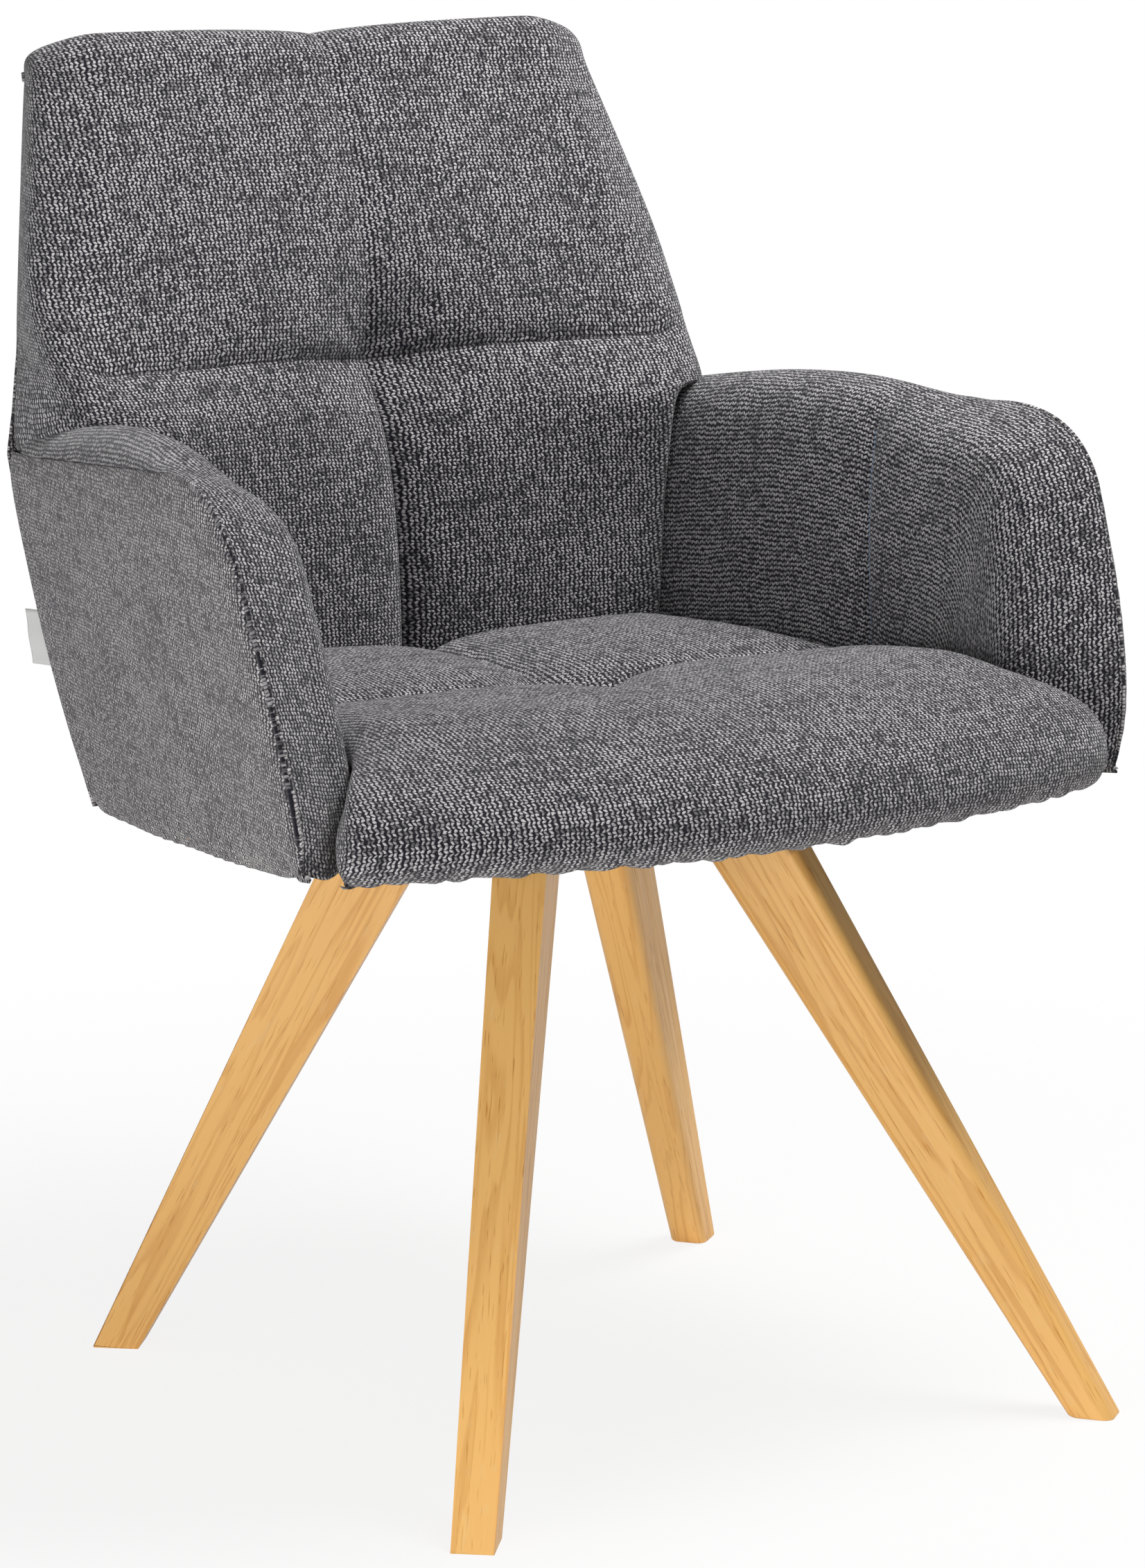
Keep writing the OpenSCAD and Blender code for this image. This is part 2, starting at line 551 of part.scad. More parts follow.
// Height of the band over its outer seam, at a depth behind the side panel
function band_height(s, depth) =
    arm_rise(s) * depth / (arm_t - arm_turn_r) + arm_bulge(s) * sin(180 * depth / arm_t);
function arm_foam_seat(p, s) =
    let(place = arm_seam(s),
        out = arm_out(s),
        over = ([p[1], p[2]] - place) * out,
        low = min(over, band_height(s, side_stack) - cover_t - 2),
        q = [p[1], p[2]] + out * (low - over))
    [side_x(q[0], q[1]) - stack_x, q[0], q[1]];
arm_foam_back = [for (s = [0 : arm_foam_rows]) [for (p = arm_foam_face[s]) arm_foam_seat(p, 2 * s)]];

// Frames that lie in the side panel's plane and in the outside back's plane
along_side = [-sin(toe_angle), cos(toe_angle), 0];
up_side = [sin(lean_angle) * cos(toe_angle), sin(lean_angle) * sin(toe_angle), cos(lean_angle)];
module in_side_frame() {
    translate([side_x(0, 0), 0, 0]) rotate([0, lean_angle, toe_angle]) children();
}
// The place (y, z) on the side panel, as seen in its own plane
function side_flat(p) = let(v = [side_x(p[0], p[1]) - side_x(0, 0), p[0], p[1]]) [v * along_side, v * up_side];
// A sheet parallel to the side panel: its outer face lies "depth" inside the panel's plane
module side_sheet(outline, depth, thickness) {
    in_side_frame()
        translate([-depth - thickness, 0, 0])
        rotate([90, 0, 90])
        linear_extrude(height = thickness)
        polygon([for (p = outline) side_flat(p)]);
}
module in_back_frame() {
    translate([0, back_plane_y, 0]) rotate([-back_rake, 0, 0]) children();
}
// A sheet that follows the outside back; the outline is its front view, as (x, z)
sheet_steps = 18;
module back_sheet(outline, depth, thickness) {
    zs = [for (k = [0 : sheet_steps]) lerp(bow_low_z - 12, back_board_top + 12, k / sheet_steps)];
    far = depth / cos(back_rake);
    near = (depth + thickness) / cos(back_rake);
    intersection() {
        translate([-arms_w, 0, 0]) rotate([90, 0, 90]) linear_extrude(height = 2 * arms_w)
            polygon(concat([for (z = zs) [back_y(z) - near, z]],
                           [for (k = [sheet_steps : -1 : 0]) [back_y(zs[k]) - far, zs[k]]]));
        translate([0, arms_w, 0]) rotate([90, 0, 0]) linear_extrude(height = arms_w) polygon(outline);
    }
}
module mirrored() {
    mirror([1, 0, 0]) children();
}

// Outline of a side sheet, drawn in from the arm's outer seam by "inset"
// "depth" is how far the sheet's inner face lies behind the panel's plane
hem_steps = 8;
rear_steps = 6;
function side_outline(inset, depth, rear_depth, hem_lift) =
    let(rear = function(z) back_y(z) - rear_depth / cos(back_rake),
        steep = function(s) norm([1, arm_rise(s) / (arm_t - arm_turn_r)]),
        top = [for (s = [0 : arm_rows])
                  arm_seam(s) - arm_out(s) * (inset * steep(s) + max(0, -band_height(s, depth)))],
        rear_top_z = top[0][1],
        low_y = rear(hem_rear_z + hem_lift),
        foot = top[arm_rows])
    concat([for (k = [1 : rear_steps])
               let(z = lerp(hem_rear_z + hem_lift, rear_top_z, k / rear_steps)) [rear(z), z]],
           [for (p = top) if (p[0] < rear(rear_top_z) - 2) [p[0], max(p[1], hem_z(p[0]) + hem_lift + 0.5)]],
           [for (k = [0 : hem_steps])
               let(y = lerp(foot[0] + 0.5, low_y, k / hem_steps)) [y, hem_z(y) + hem_lift]]);
cover_inset = cover_t + gap;

// Outline of a sheet behind the back: half of it, mirrored for the other side
waist_z = 642;
function back_rim_x(z) = back_upper_w(z) - back_taper(z);
function back_waist_x(z) =
    lerp(side_x(back_y(arm_rear_z), arm_rear_z), back_rim_x(waist_z), (z - arm_rear_z) / (waist_z - arm_rear_z));
function back_side_x(z, inset) =
    (z < arm_rear_z ? side_x(back_y(z), z) : z < waist_z ? back_waist_x(z) : back_rim_x(z)) - inset;
function back_outline(low_z, top_z, inset, corner_r) =
    let(w = back_side_x(top_z - corner_r, inset),
        right_side = concat([for (k = [0 : rear_steps])
                                let(z = lerp(low_z, arm_rear_z, k / rear_steps)) [back_side_x(z, inset), z]],
                            [[back_side_x(waist_z, inset), waist_z]],
                            [for (a = [0 : 15 : 90])
                                [w - corner_r * (1 - cos(a)), top_z - corner_r * (1 - sin(a))]]))
    concat(right_side, [for (k = [len(right_side) - 1 : -1 : 0]) [-right_side[k][0], right_side[k][1]]]);

// Legs
function leg_angle(top, foot) = atan2(foot[1] - top[1], foot[0] - top[0]);
function ring(w, t, r) =
    [for (q = [[1, 1, 0], [-1, 1, 90], [-1, -1, 180], [1, -1, 270]]) for (a = [0 : 18 : 90])
        [q[0] * (w / 2 - r) + r * cos(q[2] + a), q[1] * (t / 2 - r) + r * sin(q[2] + a)]];
function placed_ring(shape, angle, centre, z) =
    [for (p = shape) [centre[0] + p[0] * cos(angle) - p[1] * sin(angle),
                      centre[1] + p[0] * sin(angle) + p[1] * cos(angle), z]];
leg_top_z = board_z - plate_t;
leg_front = [[front_top_x, -front_top_y], [front_foot_x, -front_foot_y]];
leg_rear = [[rear_top_x, rear_top_y], [rear_foot_x, rear_foot_y]];
bolt_shift = 9;
bolt_hole_d = leg_bolt_d + 1;
washer_t = 1.6;
bolt_head_h = 5.3;
function leg_bolt_places(ends) =
    let(angle = leg_angle(ends[0], ends[1]))
    [for (s = [-1, 1])
        let(d = bolt_shift + s * leg_bolt_pitch / 2)
        [ends[0][0] + d * cos(angle), ends[0][1] + d * sin(angle)]];
module leg(ends) {
    top = ends[0];
    foot = ends[1];
    angle = leg_angle(top, foot);
    // The foot's ring lies a little above the floor, so its centre follows the leg's line
    share = foot_chamfer / leg_top_z;
    near_foot = [lerp(foot[0], top[0], share), lerp(foot[1], top[1], share)];
    rings = [placed_ring(ring(leg_foot_w - 2 * foot_chamfer, leg_foot_t - 2 * foot_chamfer, leg_edge_r - foot_chamfer),
                         angle, foot, 0),
             placed_ring(ring(leg_foot_w, leg_foot_t, leg_edge_r), angle, near_foot, foot_chamfer),
             placed_ring(ring(leg_top_w, leg_top_t, leg_edge_r), angle, top, leg_top_z)];
    n = len(rings[0]);
    difference() {
        polyhedron(points = flat(rings),
                   faces = concat([[for (k = [0 : n - 1]) k]],
                                  [[for (k = [n - 1 : -1 : 0]) 2 * n + k]],
                                  [for (r = [0, 1]) for (k = [0 : n - 1]) for (half = [0, 1])
                                      let(a = r * n + k, b = r * n + (k + 1) % n, c = b + n, d = a + n)
                                      half == 0 ? [a, c, b] : [a, d, c]]));
        for (p = leg_bolt_places(ends))
            translate([p[0], p[1], leg_top_z - insert_l - gap])
                cylinder(h = insert_l + 1, d = insert_d + 2 * gap, $fn = 48);
    }
}
module front_left_leg() {
    color(oak) leg(leg_front);
}
module front_right_leg() {
    color(oak) mirrored() leg(leg_front);
}
module rear_left_leg() {
    color(oak) leg(leg_rear);
}
module rear_right_leg() {
    color(oak) mirrored() leg(leg_rear);
}

// One copy at each of the eight leg bolts
module at_leg_bolts(z) {
    for (side = [-1, 1]) for (ends = [leg_front, leg_rear]) for (p = leg_bolt_places(ends))
        translate([side * p[0], p[1], z]) children();
}
module leg_inserts() {
    color(steel) at_leg_bolts(leg_top_z - insert_l)
        difference() {
            cylinder(h = insert_l, d = insert_d, $fn = 48);
            translate([0, 0, -1]) cylinder(h = insert_l + 2, d = leg_bolt_d + 2 * gap / 3, $fn = 48);
        }
}
module leg_washers() {
    color(steel) at_leg_bolts(board_z + gap / 3)
        difference() {
            cylinder(h = washer_t, d = 2 * leg_bolt_d, $fn = 48);
            translate([0, 0, -1]) cylinder(h = washer_t + 2, d = leg_bolt_d + 2 * gap, $fn = 48);
        }
}
module leg_bolts() {
    head_z = board_z + washer_t + 2 * gap / 3;
    color(steel) at_leg_bolts(head_z) {
        cylinder(h = bolt_head_h, d = 1.65 * leg_bolt_d, $fn = 6);
        translate([0, 0, -washer_t - plate_t - leg_bolt_reach])
            cylinder(h = washer_t + plate_t + leg_bolt_reach + 0.5, d = leg_bolt_d, $fn = 48);
    }
}

// Base plate: a centre disc, an arm and a lobe for each leg
base_mid_y = (rear_top_y - front_top_y) / 2;
module base_outline() {
    translate([0, base_mid_y]) circle(d = 2.2 * plate_arm_w, $fn = 96);
    for (side = [-1, 1]) for (ends = [leg_front, leg_rear]) {
        place = [side * ends[0][0], ends[0][1] - base_mid_y];
        translate([0, base_mid_y]) rotate(atan2(place[1], place[0]))
            translate([0, -plate_arm_w / 2]) square([norm(place), plate_arm_w]);
        translate([place[0], place[1] + base_mid_y]) circle(r = plate_lobe_r, $fn = 96);
    }
}
module at_base_bolts(z) {
    for (sx = [-1, 1]) for (sy = [-1, 1])
        translate([sx * base_bolt_pitch, base_mid_y + sy * base_bolt_pitch, z]) children();
}
module base_plate() {
    color(steel)
        difference() {
            translate([0, 0, leg_top_z + gap / 3]) linear_extrude(height = plate_t - 2 * gap / 3) base_outline();
            at_leg_bolts(leg_top_z - 1) cylinder(h = plate_t + 2, d = bolt_hole_d, $fn = 48);
            at_base_bolts(leg_top_z - 1) cylinder(h = plate_t + 2, d = base_bolt_d + 1, $fn = 48);
        }
}
base_washer_t = 1.2;
base_head_h = 4;
nut_flange_t = 1.5;
nut_barrel_h = 9;
nut_hole_d = base_bolt_d + 2.5;
module base_washers() {
    color(steel) at_base_bolts(leg_top_z - base_washer_t)
        difference() {
            cylinder(h = base_washer_t, d = 2.3 * base_bolt_d, $fn = 48);
            translate([0, 0, -1]) cylinder(h = base_washer_t + 2, d = base_bolt_d + 2 * gap, $fn = 48);
        }
}
module base_bolts() {
    color(steel) at_base_bolts(leg_top_z - base_washer_t - base_head_h - gap / 3) {
        cylinder(h = base_head_h, d = 1.7 * base_bolt_d, $fn = 6);
        translate([0, 0, base_head_h - 0.5])
            cylinder(h = base_washer_t + plate_t + board_t - 3, d = base_bolt_d, $fn = 48);
    }
}
module tee_nuts() {
    color(steel) at_base_bolts(board_z + board_t - nut_flange_t)
        difference() {
            union() {
                cylinder(h = nut_flange_t, d = 3.1 * base_bolt_d, $fn = 48);
                translate([0, 0, -nut_barrel_h]) cylinder(h = nut_barrel_h + 0.5, d = nut_hole_d, $fn = 48);
            }
            translate([0, 0, -nut_barrel_h - 1])
                cylinder(h = nut_barrel_h + nut_flange_t + 2, d = base_bolt_d + gap, $fn = 48);
        }
}

// Seat board: between the side boards, ahead of the back board
tie_d = 2;
anchor_d = 22;
anchor_t = 2;
anchor_pocket = anchor_t + 2 * gap;
board_notch_y = -arm_foot_y + 77;
board_notch_x = arm_inner_x(board_notch_y, board_z) - 12;
function board_side_x(y) = side_x(y, board_z) - (side_stack + gap) / cos(lean_angle) / cos(toe_angle);
front_steps = 12;
module seat_board_outline() {
    rear = board_face_y(board_z) - gap;
    polygon(concat([[board_side_x(rear), rear], [board_side_x(board_notch_y), board_notch_y],
                    [board_notch_x, board_notch_y]],
                   [for (k = [0 : front_steps])
                       let(x = lerp(board_notch_x, -board_notch_x, k / front_steps)) [x, board_front_y(x)]],
                   [[-board_notch_x, board_notch_y], [-board_side_x(board_notch_y), board_notch_y],
                    [-board_side_x(rear), rear]]));
}
module seat_board() {
    color(wood)
        difference() {
            translate([0, 0, board_z]) linear_extrude(height = board_t) seat_board_outline();
            at_leg_bolts(board_z - 1)
                cylinder(h = 1 + washer_t + bolt_head_h + 3, d = 2 * leg_bolt_d + 4, $fn = 48);
            at_base_bolts(board_z - 1) cylinder(h = board_t + 2, d = nut_hole_d + 2 * gap, $fn = 48);
            at_base_bolts(board_z + board_t - nut_flange_t - gap)
                cylinder(h = nut_flange_t + 1, d = 3.1 * base_bolt_d + 2 * gap, $fn = 48);
            translate([0, seat_seam_y, board_z - 1]) cylinder(h = board_t + 2, d = 2 * tie_d, $fn = 32);
            translate([0, seat_seam_y, board_z - 1]) cylinder(h = 1 + anchor_pocket, d = anchor_d + 2 * gap, $fn = 48);
            frame_screw_holes();
        }
}

// Frame screws: through the side boards and the back board into the seat board's edge
screw_head_d = 2 * screw_d;
screw_ys = [-110, 10, 120];
back_screw_xs = [-150, -50, 50, 150];
screw_z = board_z + board_t / 2;
module frame_screw(d, head_d, length) {
    cylinder(h = length, d = d, $fn = 32);
    cylinder(h = head_d / 4, d = head_d, $fn = 32);
}
module at_side_screws() {
    for (y = screw_ys) let(p = side_flat([y, screw_z]))
        in_side_frame()
        translate([-panel_cover_t - 2 * gap, p[0], p[1]]) rotate([0, -90, 0]) children();
}
module at_back_screws() {
    for (x = back_screw_xs)
        translate([0, back_bow_y(screw_z), 0]) in_back_frame()
        translate([x, -panel_cover_t - 2 * gap, screw_z / cos(back_rake)]) rotate([90, 0, 0]) children();
}
module frame_screw_holes() {
    at_side_screws() frame_screw(screw_d + gap, screw_head_d + gap, screw_l + 1);
    mirrored() at_side_screws() frame_screw(screw_d + gap, screw_head_d + gap, screw_l + 1);
    at_back_screws() frame_screw(screw_d + gap, screw_head_d + gap, screw_l + 1);
}
module frame_screws() {
    color(steel) {
        at_side_screws() frame_screw(screw_d, screw_head_d, screw_l);
        mirrored() at_side_screws() frame_screw(screw_d, screw_head_d, screw_l);
        at_back_screws() frame_screw(screw_d, screw_head_d, screw_l);
    }
}

module side_board() {
    difference() {
        side_sheet(side_outline(cover_inset + 2, side_stack, side_stack, dust_t + 3 * gap + 2),
                   panel_cover_t + gap, panel_t);
        at_side_screws()
            translate([0, 0, -1]) {
                cylinder(h = panel_t + 4, d = screw_d + gap, $fn = 32);
                cylinder(h = 1 + screw_head_d / 4 + gap, d = screw_head_d + gap, $fn = 32);
            }
    }
}
module left_side_board() {
    color(wood) side_board();
}
module right_side_board() {
    color(wood) mirrored() side_board();
}
module back_board() {
    color(wood)
        difference() {
            back_sheet(back_outline(hem_rear_z + dust_t + 3 * gap + 2, back_board_top, cover_t + 5, 22),
                       panel_cover_t + gap, panel_t);
            at_back_screws()
                translate([0, 0, -1]) {
                    cylinder(h = panel_t + 4, d = screw_d + gap, $fn = 32);
                    cylinder(h = 1 + screw_head_d / 4 + gap, d = screw_head_d + gap, $fn = 32);
                }
            at_back_tie(-1) cylinder(h = panel_t + 4, d = 2 * tie_d, $fn = 32);
            at_back_tie(-1) cylinder(h = 1 + anchor_pocket, d = anchor_d + 2 * gap, $fn = 48);
        }
}

// Corner blocks under the seat board, against the side boards and the back board
block_y = 60;
back_block_x = 95;
block_top = board_z - gap / 2;
module corner_blocks() {
    color(wood) {
        for (side = [0, 1]) mirror([side, 0, 0])
            difference() {
                translate([board_side_x(block_y) - block_w - 4, block_y - block_l / 2, block_top - block_w])
                    cube([block_w + 12, block_l, block_w]);
                in_side_frame()
                    translate([-side_stack, -600, 0]) cube([100, 1200, 600]);
            }
        for (side = [-1, 1])
            translate([side * back_block_x - block_l / 2,
                       board_face_y(block_top - block_w) - gap - block_w, block_top - block_w])
                cube([block_l, block_w, block_w]);
    }
}

// Ties that pull the crossings in, from the cover's lining to a disc behind the boards
module at_back_tie(depth) {
    in_back_frame()
        translate([0, -panel_cover_t - gap, back_seam_z / cos(back_rake)])
        rotate([90, 0, 0]) translate([0, 0, depth]) children();
}
seat_tie_top = seat_lining[seat_seam_row / 2][half_cols / 2][2] - gap;
back_tie_end = (back_y(back_seam_z) - back_lining[back_seam_row / 2][half_cols / 2][1]) * cos(back_rake)
               - panel_cover_t - gap;
module tuft_ties() {
    color("white") {
        translate([0, seat_seam_y, board_z + anchor_pocket])
            cylinder(h = seat_tie_top - board_z - anchor_pocket, d = tie_d, $fn = 24);
        at_back_tie(anchor_pocket) cylinder(h = back_tie_end - anchor_pocket - 2, d = tie_d, $fn = 24);
    }
}
module tuft_anchors() {
    color("black") {
        translate([0, seat_seam_y, board_z + gap]) cylinder(h = anchor_t, d = anchor_d, $fn = 48);
        at_back_tie(gap) cylinder(h = anchor_t, d = anchor_d, $fn = 48);
    }
}

// Foam pads
module seat_foam() {
    color(foam)
        difference() {
            pad_solid(seat_foam_top, seat_foam_under);
            translate([0, seat_seam_y, board_z]) cylinder(h = 100, d = 2 * tie_d, $fn = 32);
        }
}
module back_foam() {
    color(foam)
        difference() {
            pad_solid(back_foam_face, back_foam_rear);
            at_back_tie(0) cylinder(h = 120, d = 2 * tie_d, $fn = 32);
        }
}
module left_arm_foam() {
    color(foam) pad_solid(arm_foam_face, arm_foam_back);
}
module right_arm_foam() {
    color(foam) mirrored() pad_solid(arm_foam_face, arm_foam_back);
}

// Covers
module seat_cover() {
    color(fabric) pad_solid(seat_outer, seat_lining);
}
module back_cover() {
    color(fabric) pad_solid(back_outer, back_lining);
}
module left_arm_cover() {
    color(fabric) pad_solid(arm_outer, arm_lining);
}
module right_arm_cover() {
    color(fabric) mirrored() pad_solid(arm_outer, arm_lining);
}
module side_cover() {
    side_sheet(side_outline(cover_inset, panel_cover_t, 0, 0), 0, panel_cover_t);
}
module left_side_cover() {
    color(fabric) side_cover();
}
module right_side_cover() {
    color(fabric) mirrored() side_cover();
}
module outside_back_cover() {
    color(fabric)
        back_sheet(back_outline(hem_rear_z + 1, back_face_z + 1, panel_cover_t + 2 * gap, 26), 0, panel_cover_t);
}

// Bare label tab in the seam at the rear edge of the sitter's right side panel
module label_tab() {
    y = back_y(tab_z + tab_h / 2) + gap;
    color("gainsboro")
        translate([-side_x(y, tab_z) + 1, y, tab_z - tab_h / 2]) rotate([0, 0, 104])
        cube([tab_w, 0.8, tab_h]);
}

// Dust cover: a sheet that follows the shell's lower edge
lip_z = seat_under_z - 4 * gap - dust_t;
lip_y = -200;
dust_steps = 10;
function dust_z(y) = min(hem_z(y) + 2, board_z - gap - dust_t,
                         lerp(board_z - gap - dust_t, lip_z, clamp((lip_y - y) / 30, 0, 1)));
function dust_front_y(x) = board_front_y(x) + 14;
module dust_cover() {
    rear = board_face_y(hem_rear_z) + panel_t / 2;
    front = dust_front_y(0);
    ys = concat([for (k = [0 : dust_steps]) lerp(rear, lip_y, k / dust_steps)], [lip_y - 30, front - 1]);
    edge_x = board_notch_x - 8;
    color("black")
        difference() {
            intersection() {
                translate([-400, 0, 0]) rotate([90, 0, 90]) linear_extrude(height = 800)
                    polygon(concat([for (y = ys) [y, dust_z(y)]],
                                   [for (k = [len(ys) - 1 : -1 : 0]) [ys[k], dust_z(ys[k]) + dust_t]]));
                translate([0, 0, 300]) linear_extrude(height = 200)
                    polygon(concat([[side_x(rear, hem_rear_z) - 5, rear],
                                    [side_x(board_notch_y, board_z) - 6, board_notch_y], [edge_x, board_notch_y]],
                                   [for (k = [0 : front_steps])
                                       let(x = lerp(edge_x, -edge_x, k / front_steps)) [x, dust_front_y(x)]],
                                   [[-edge_x, board_notch_y], [6 - side_x(board_notch_y, board_z), board_notch_y],
                                    [5 - side_x(rear, hem_rear_z), rear]]));
            }
            for (side = [0, 1]) mirror([side, 0, 0]) for (ends = [leg_front, leg_rear])
                let(share = dust_z(ends[0][1]) / leg_top_z,
                    place = [lerp(ends[1][0], ends[0][0], share), lerp(ends[1][1], ends[0][1], share)])
                translate([place[0], place[1], 300]) rotate(leg_angle(ends[0], ends[1]))
                translate([-(leg_top_w + 22) / 2, -(leg_top_t + 8) / 2]) cube([leg_top_w + 22, leg_top_t + 8, 200]);
        }
}

// Staples along the shell's lower edge: crowns that lie flat on the dust cover and the hem
staple_w = 10;
staple_t = 1;
side_staples = 9;
front_staples = 15;
module staple() {
    translate([-staple_w / 2, -staple_t / 2, -staple_t]) cube([staple_w, staple_t, staple_t]);
}
module hem_staples() {
    color(steel) {
        for (side = [-1, 1]) for (k = [1 : side_staples])
            let(y = lerp(board_notch_y + 10, hem_start_y - 25, k / (side_staples + 1)),
                x = side_x(y, hem_z(y)) - 11)
            translate([side * x, y, dust_z(y) - gap / 2]) rotate([-asin(clamp((dust_z(y - 5) - dust_z(y + 5)) / 10, -0.5, 0.5)), 0, 0])
            rotate(90 + side * toe_angle) staple();
        for (k = [0 : front_staples - 1])
            let(x = lerp(-195, 195, k / (front_staples - 1)),
                y = dust_front_y(x) + 5)
            translate([x, y, lip_z - gap / 2])
            rotate(atan(2 * front_sweep * x / (front_half_w * front_half_w))) staple();
    }
}

seat_cover();
back_cover();
left_arm_cover();
right_arm_cover();
left_side_cover();
right_side_cover();
outside_back_cover();
label_tab();
seat_foam();
back_foam();
left_arm_foam();
right_arm_foam();
seat_board();
back_board();
left_side_board();
right_side_board();
corner_blocks();
frame_screws();
tuft_ties();
tuft_anchors();
dust_cover();
hem_staples();
base_plate();
base_bolts();
base_washers();
tee_nuts();
front_left_leg();
front_right_leg();
rear_left_leg();
rear_right_leg();
leg_bolts();
leg_washers();
leg_inserts();
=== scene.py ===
"""Upholstered bucket armchair: sewn and quilted pads on a wooden frame, four splayed oak legs.

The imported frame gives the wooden, steel and plastic pieces. The pads, the panel covers, the label tab,
the dust cover and the legs are modelled here, in the same places, and every piece gets its finish here.
Lengths are in metres. X points to the sitter's left, -Y is where the chair faces, +Z is up.
"""
import math
import random

import bmesh
import bpy
import numpy as np
from bpy.props import FloatProperty, FloatVectorProperty, IntProperty, PointerProperty
from bpy.types import Operator, Panel, PropertyGroup
from mathutils import Matrix, Vector


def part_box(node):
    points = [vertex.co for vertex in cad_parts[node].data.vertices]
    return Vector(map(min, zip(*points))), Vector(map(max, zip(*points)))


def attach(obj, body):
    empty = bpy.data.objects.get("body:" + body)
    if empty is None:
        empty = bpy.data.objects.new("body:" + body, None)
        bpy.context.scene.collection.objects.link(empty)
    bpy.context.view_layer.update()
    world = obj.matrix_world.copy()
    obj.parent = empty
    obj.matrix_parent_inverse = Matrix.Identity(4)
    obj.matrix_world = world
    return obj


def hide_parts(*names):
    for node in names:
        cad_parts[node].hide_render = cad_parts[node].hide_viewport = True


bl_info = {
    "name": "Bucket Armchair",
    "version": (1, 0, 0),
    "blender": (4, 5, 0),
    "location": "View3D > Sidebar > Armchair",
    "description": "Builds an upholstered bucket armchair on four oak legs",
    "category": "Object",
}

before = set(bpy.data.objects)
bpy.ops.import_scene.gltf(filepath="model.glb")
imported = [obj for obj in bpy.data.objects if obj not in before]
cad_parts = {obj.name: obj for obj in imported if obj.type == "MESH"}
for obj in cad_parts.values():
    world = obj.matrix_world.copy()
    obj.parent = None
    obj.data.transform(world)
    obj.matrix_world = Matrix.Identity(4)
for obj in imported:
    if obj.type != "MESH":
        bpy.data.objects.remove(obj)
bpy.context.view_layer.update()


def length(name, text, default):
    """A size in metres"""
    return FloatProperty(name=name, description=text, default=default, min=0.0, max=2.0, precision=4,
                         unit="LENGTH")


def share(name, text, default, low=0.0, high=1.0):
    """A plain number"""
    return FloatProperty(name=name, description=text, default=default, min=low, max=high, precision=3)


def colour(name, text, default):
    """A colour, as its linear values"""
    return FloatVectorProperty(name=name, description=text, default=default, size=3, min=0.0, max=1.0,
                               subtype="COLOR")


def lamp_power(name, text, default):
    """A lamp's power"""
    return FloatProperty(name=name, description=text, default=default, min=0.0, unit="POWER")


def degrees(name, text, default):
    """A turn in degrees"""
    return FloatProperty(name=name, description=text, default=default)


class ShellSizes(PropertyGroup):
    """The bucket's outer planes, which every panel is set against"""
    arms_width: length("Arms width", "Width over both arms at their widest point", 0.645)
    toe: share("Arm toe-in", "How much each arm closes in towards the back, per length of depth", 0.15)
    lean: share("Arm lean", "How much each arm leans out, per length of height", 0.13)
    arm_thickness: length("Arm thickness", "Thickness of an arm from its side panel to its inner face", 0.060)
    back_plane: length("Back plane", "How far behind the origin the outside back stands at the floor", 0.066)
    back_rake: share("Back rake", "Rake of the outside back, as run over rise", 0.3096)
    back_bow: length("Back bow", "How far the outside back bows out below the arms", 0.010)
    hem_rear: length("Rear hem height", "Height of the shell's lower edge at the back", 0.371)
    board_height: length("Board height", "Height of the seat board's underside", 0.408)


class SeatSizes(PropertyGroup):
    """The seat pad"""
    crown_height: length("Crown height", "Height of the seat's crown", 0.482)
    rear_height: length("Rear height", "Height of the seat's rear edge", 0.468)
    front_reach: length("Front reach", "How far the seat's front reaches ahead of the origin", 0.330)
    rear_reach: length("Rear reach", "How far the seat's top reaches behind the origin", 0.157)
    corner_sweep: length("Corner sweep", "How far the front corners curve back", 0.065)
    corner_inset: length("Corner inset", "How far inside the arms' outer sides the front corners end", 0.021)
    corner_wrap: length("Corner wrap", "How far the front corners wrap back towards the arms' feet", 0.030)
    corner_tuck: length("Corner tuck", "How far the wrapped corners are tucked in", 0.004)
    seam_set_back: length("Seam place", "How far the crossing seam lies ahead of the origin", 0.048)
    seam_depth: length("Seam depth", "Depth of the sewn valleys", 0.0115)
    tuft_depth: length("Centre depth", "Extra depth of the pulled-in centre", 0.013)
    pucker: length("Hem pucker", "Height of the gathers along the front hem", 0.0019)


class BackSizes(PropertyGroup):
    """The inside back pad"""
    top_height: length("Top height", "Height of the back's top edge", 0.878)
    edge_rise: length("Edge rise", "Rise of the top edge above the back's flat face", 0.030)
    top_half_width: length("Top half width", "Half width at the top edge", 0.206)
    arm_lap: length("Arm lap", "How far the sides stand outside the arms' rear corners", 0.002)
    low_place: length("Lower place", "Lower end of the inside back's centre line behind the origin", 0.163)
    middle_place: length("Middle place", "Middle of the centre line behind the origin", 0.158)
    high_place: length("Upper place", "Upper end of the centre line behind the origin", 0.264)
    seam_height: length("Seam height", "Height of the crossing seam", 0.664)
    seam_depth: length("Seam depth", "Depth of the sewn valleys", 0.010)
    tuft_depth: length("Centre depth", "Extra depth of the pulled-in centre", 0.017)


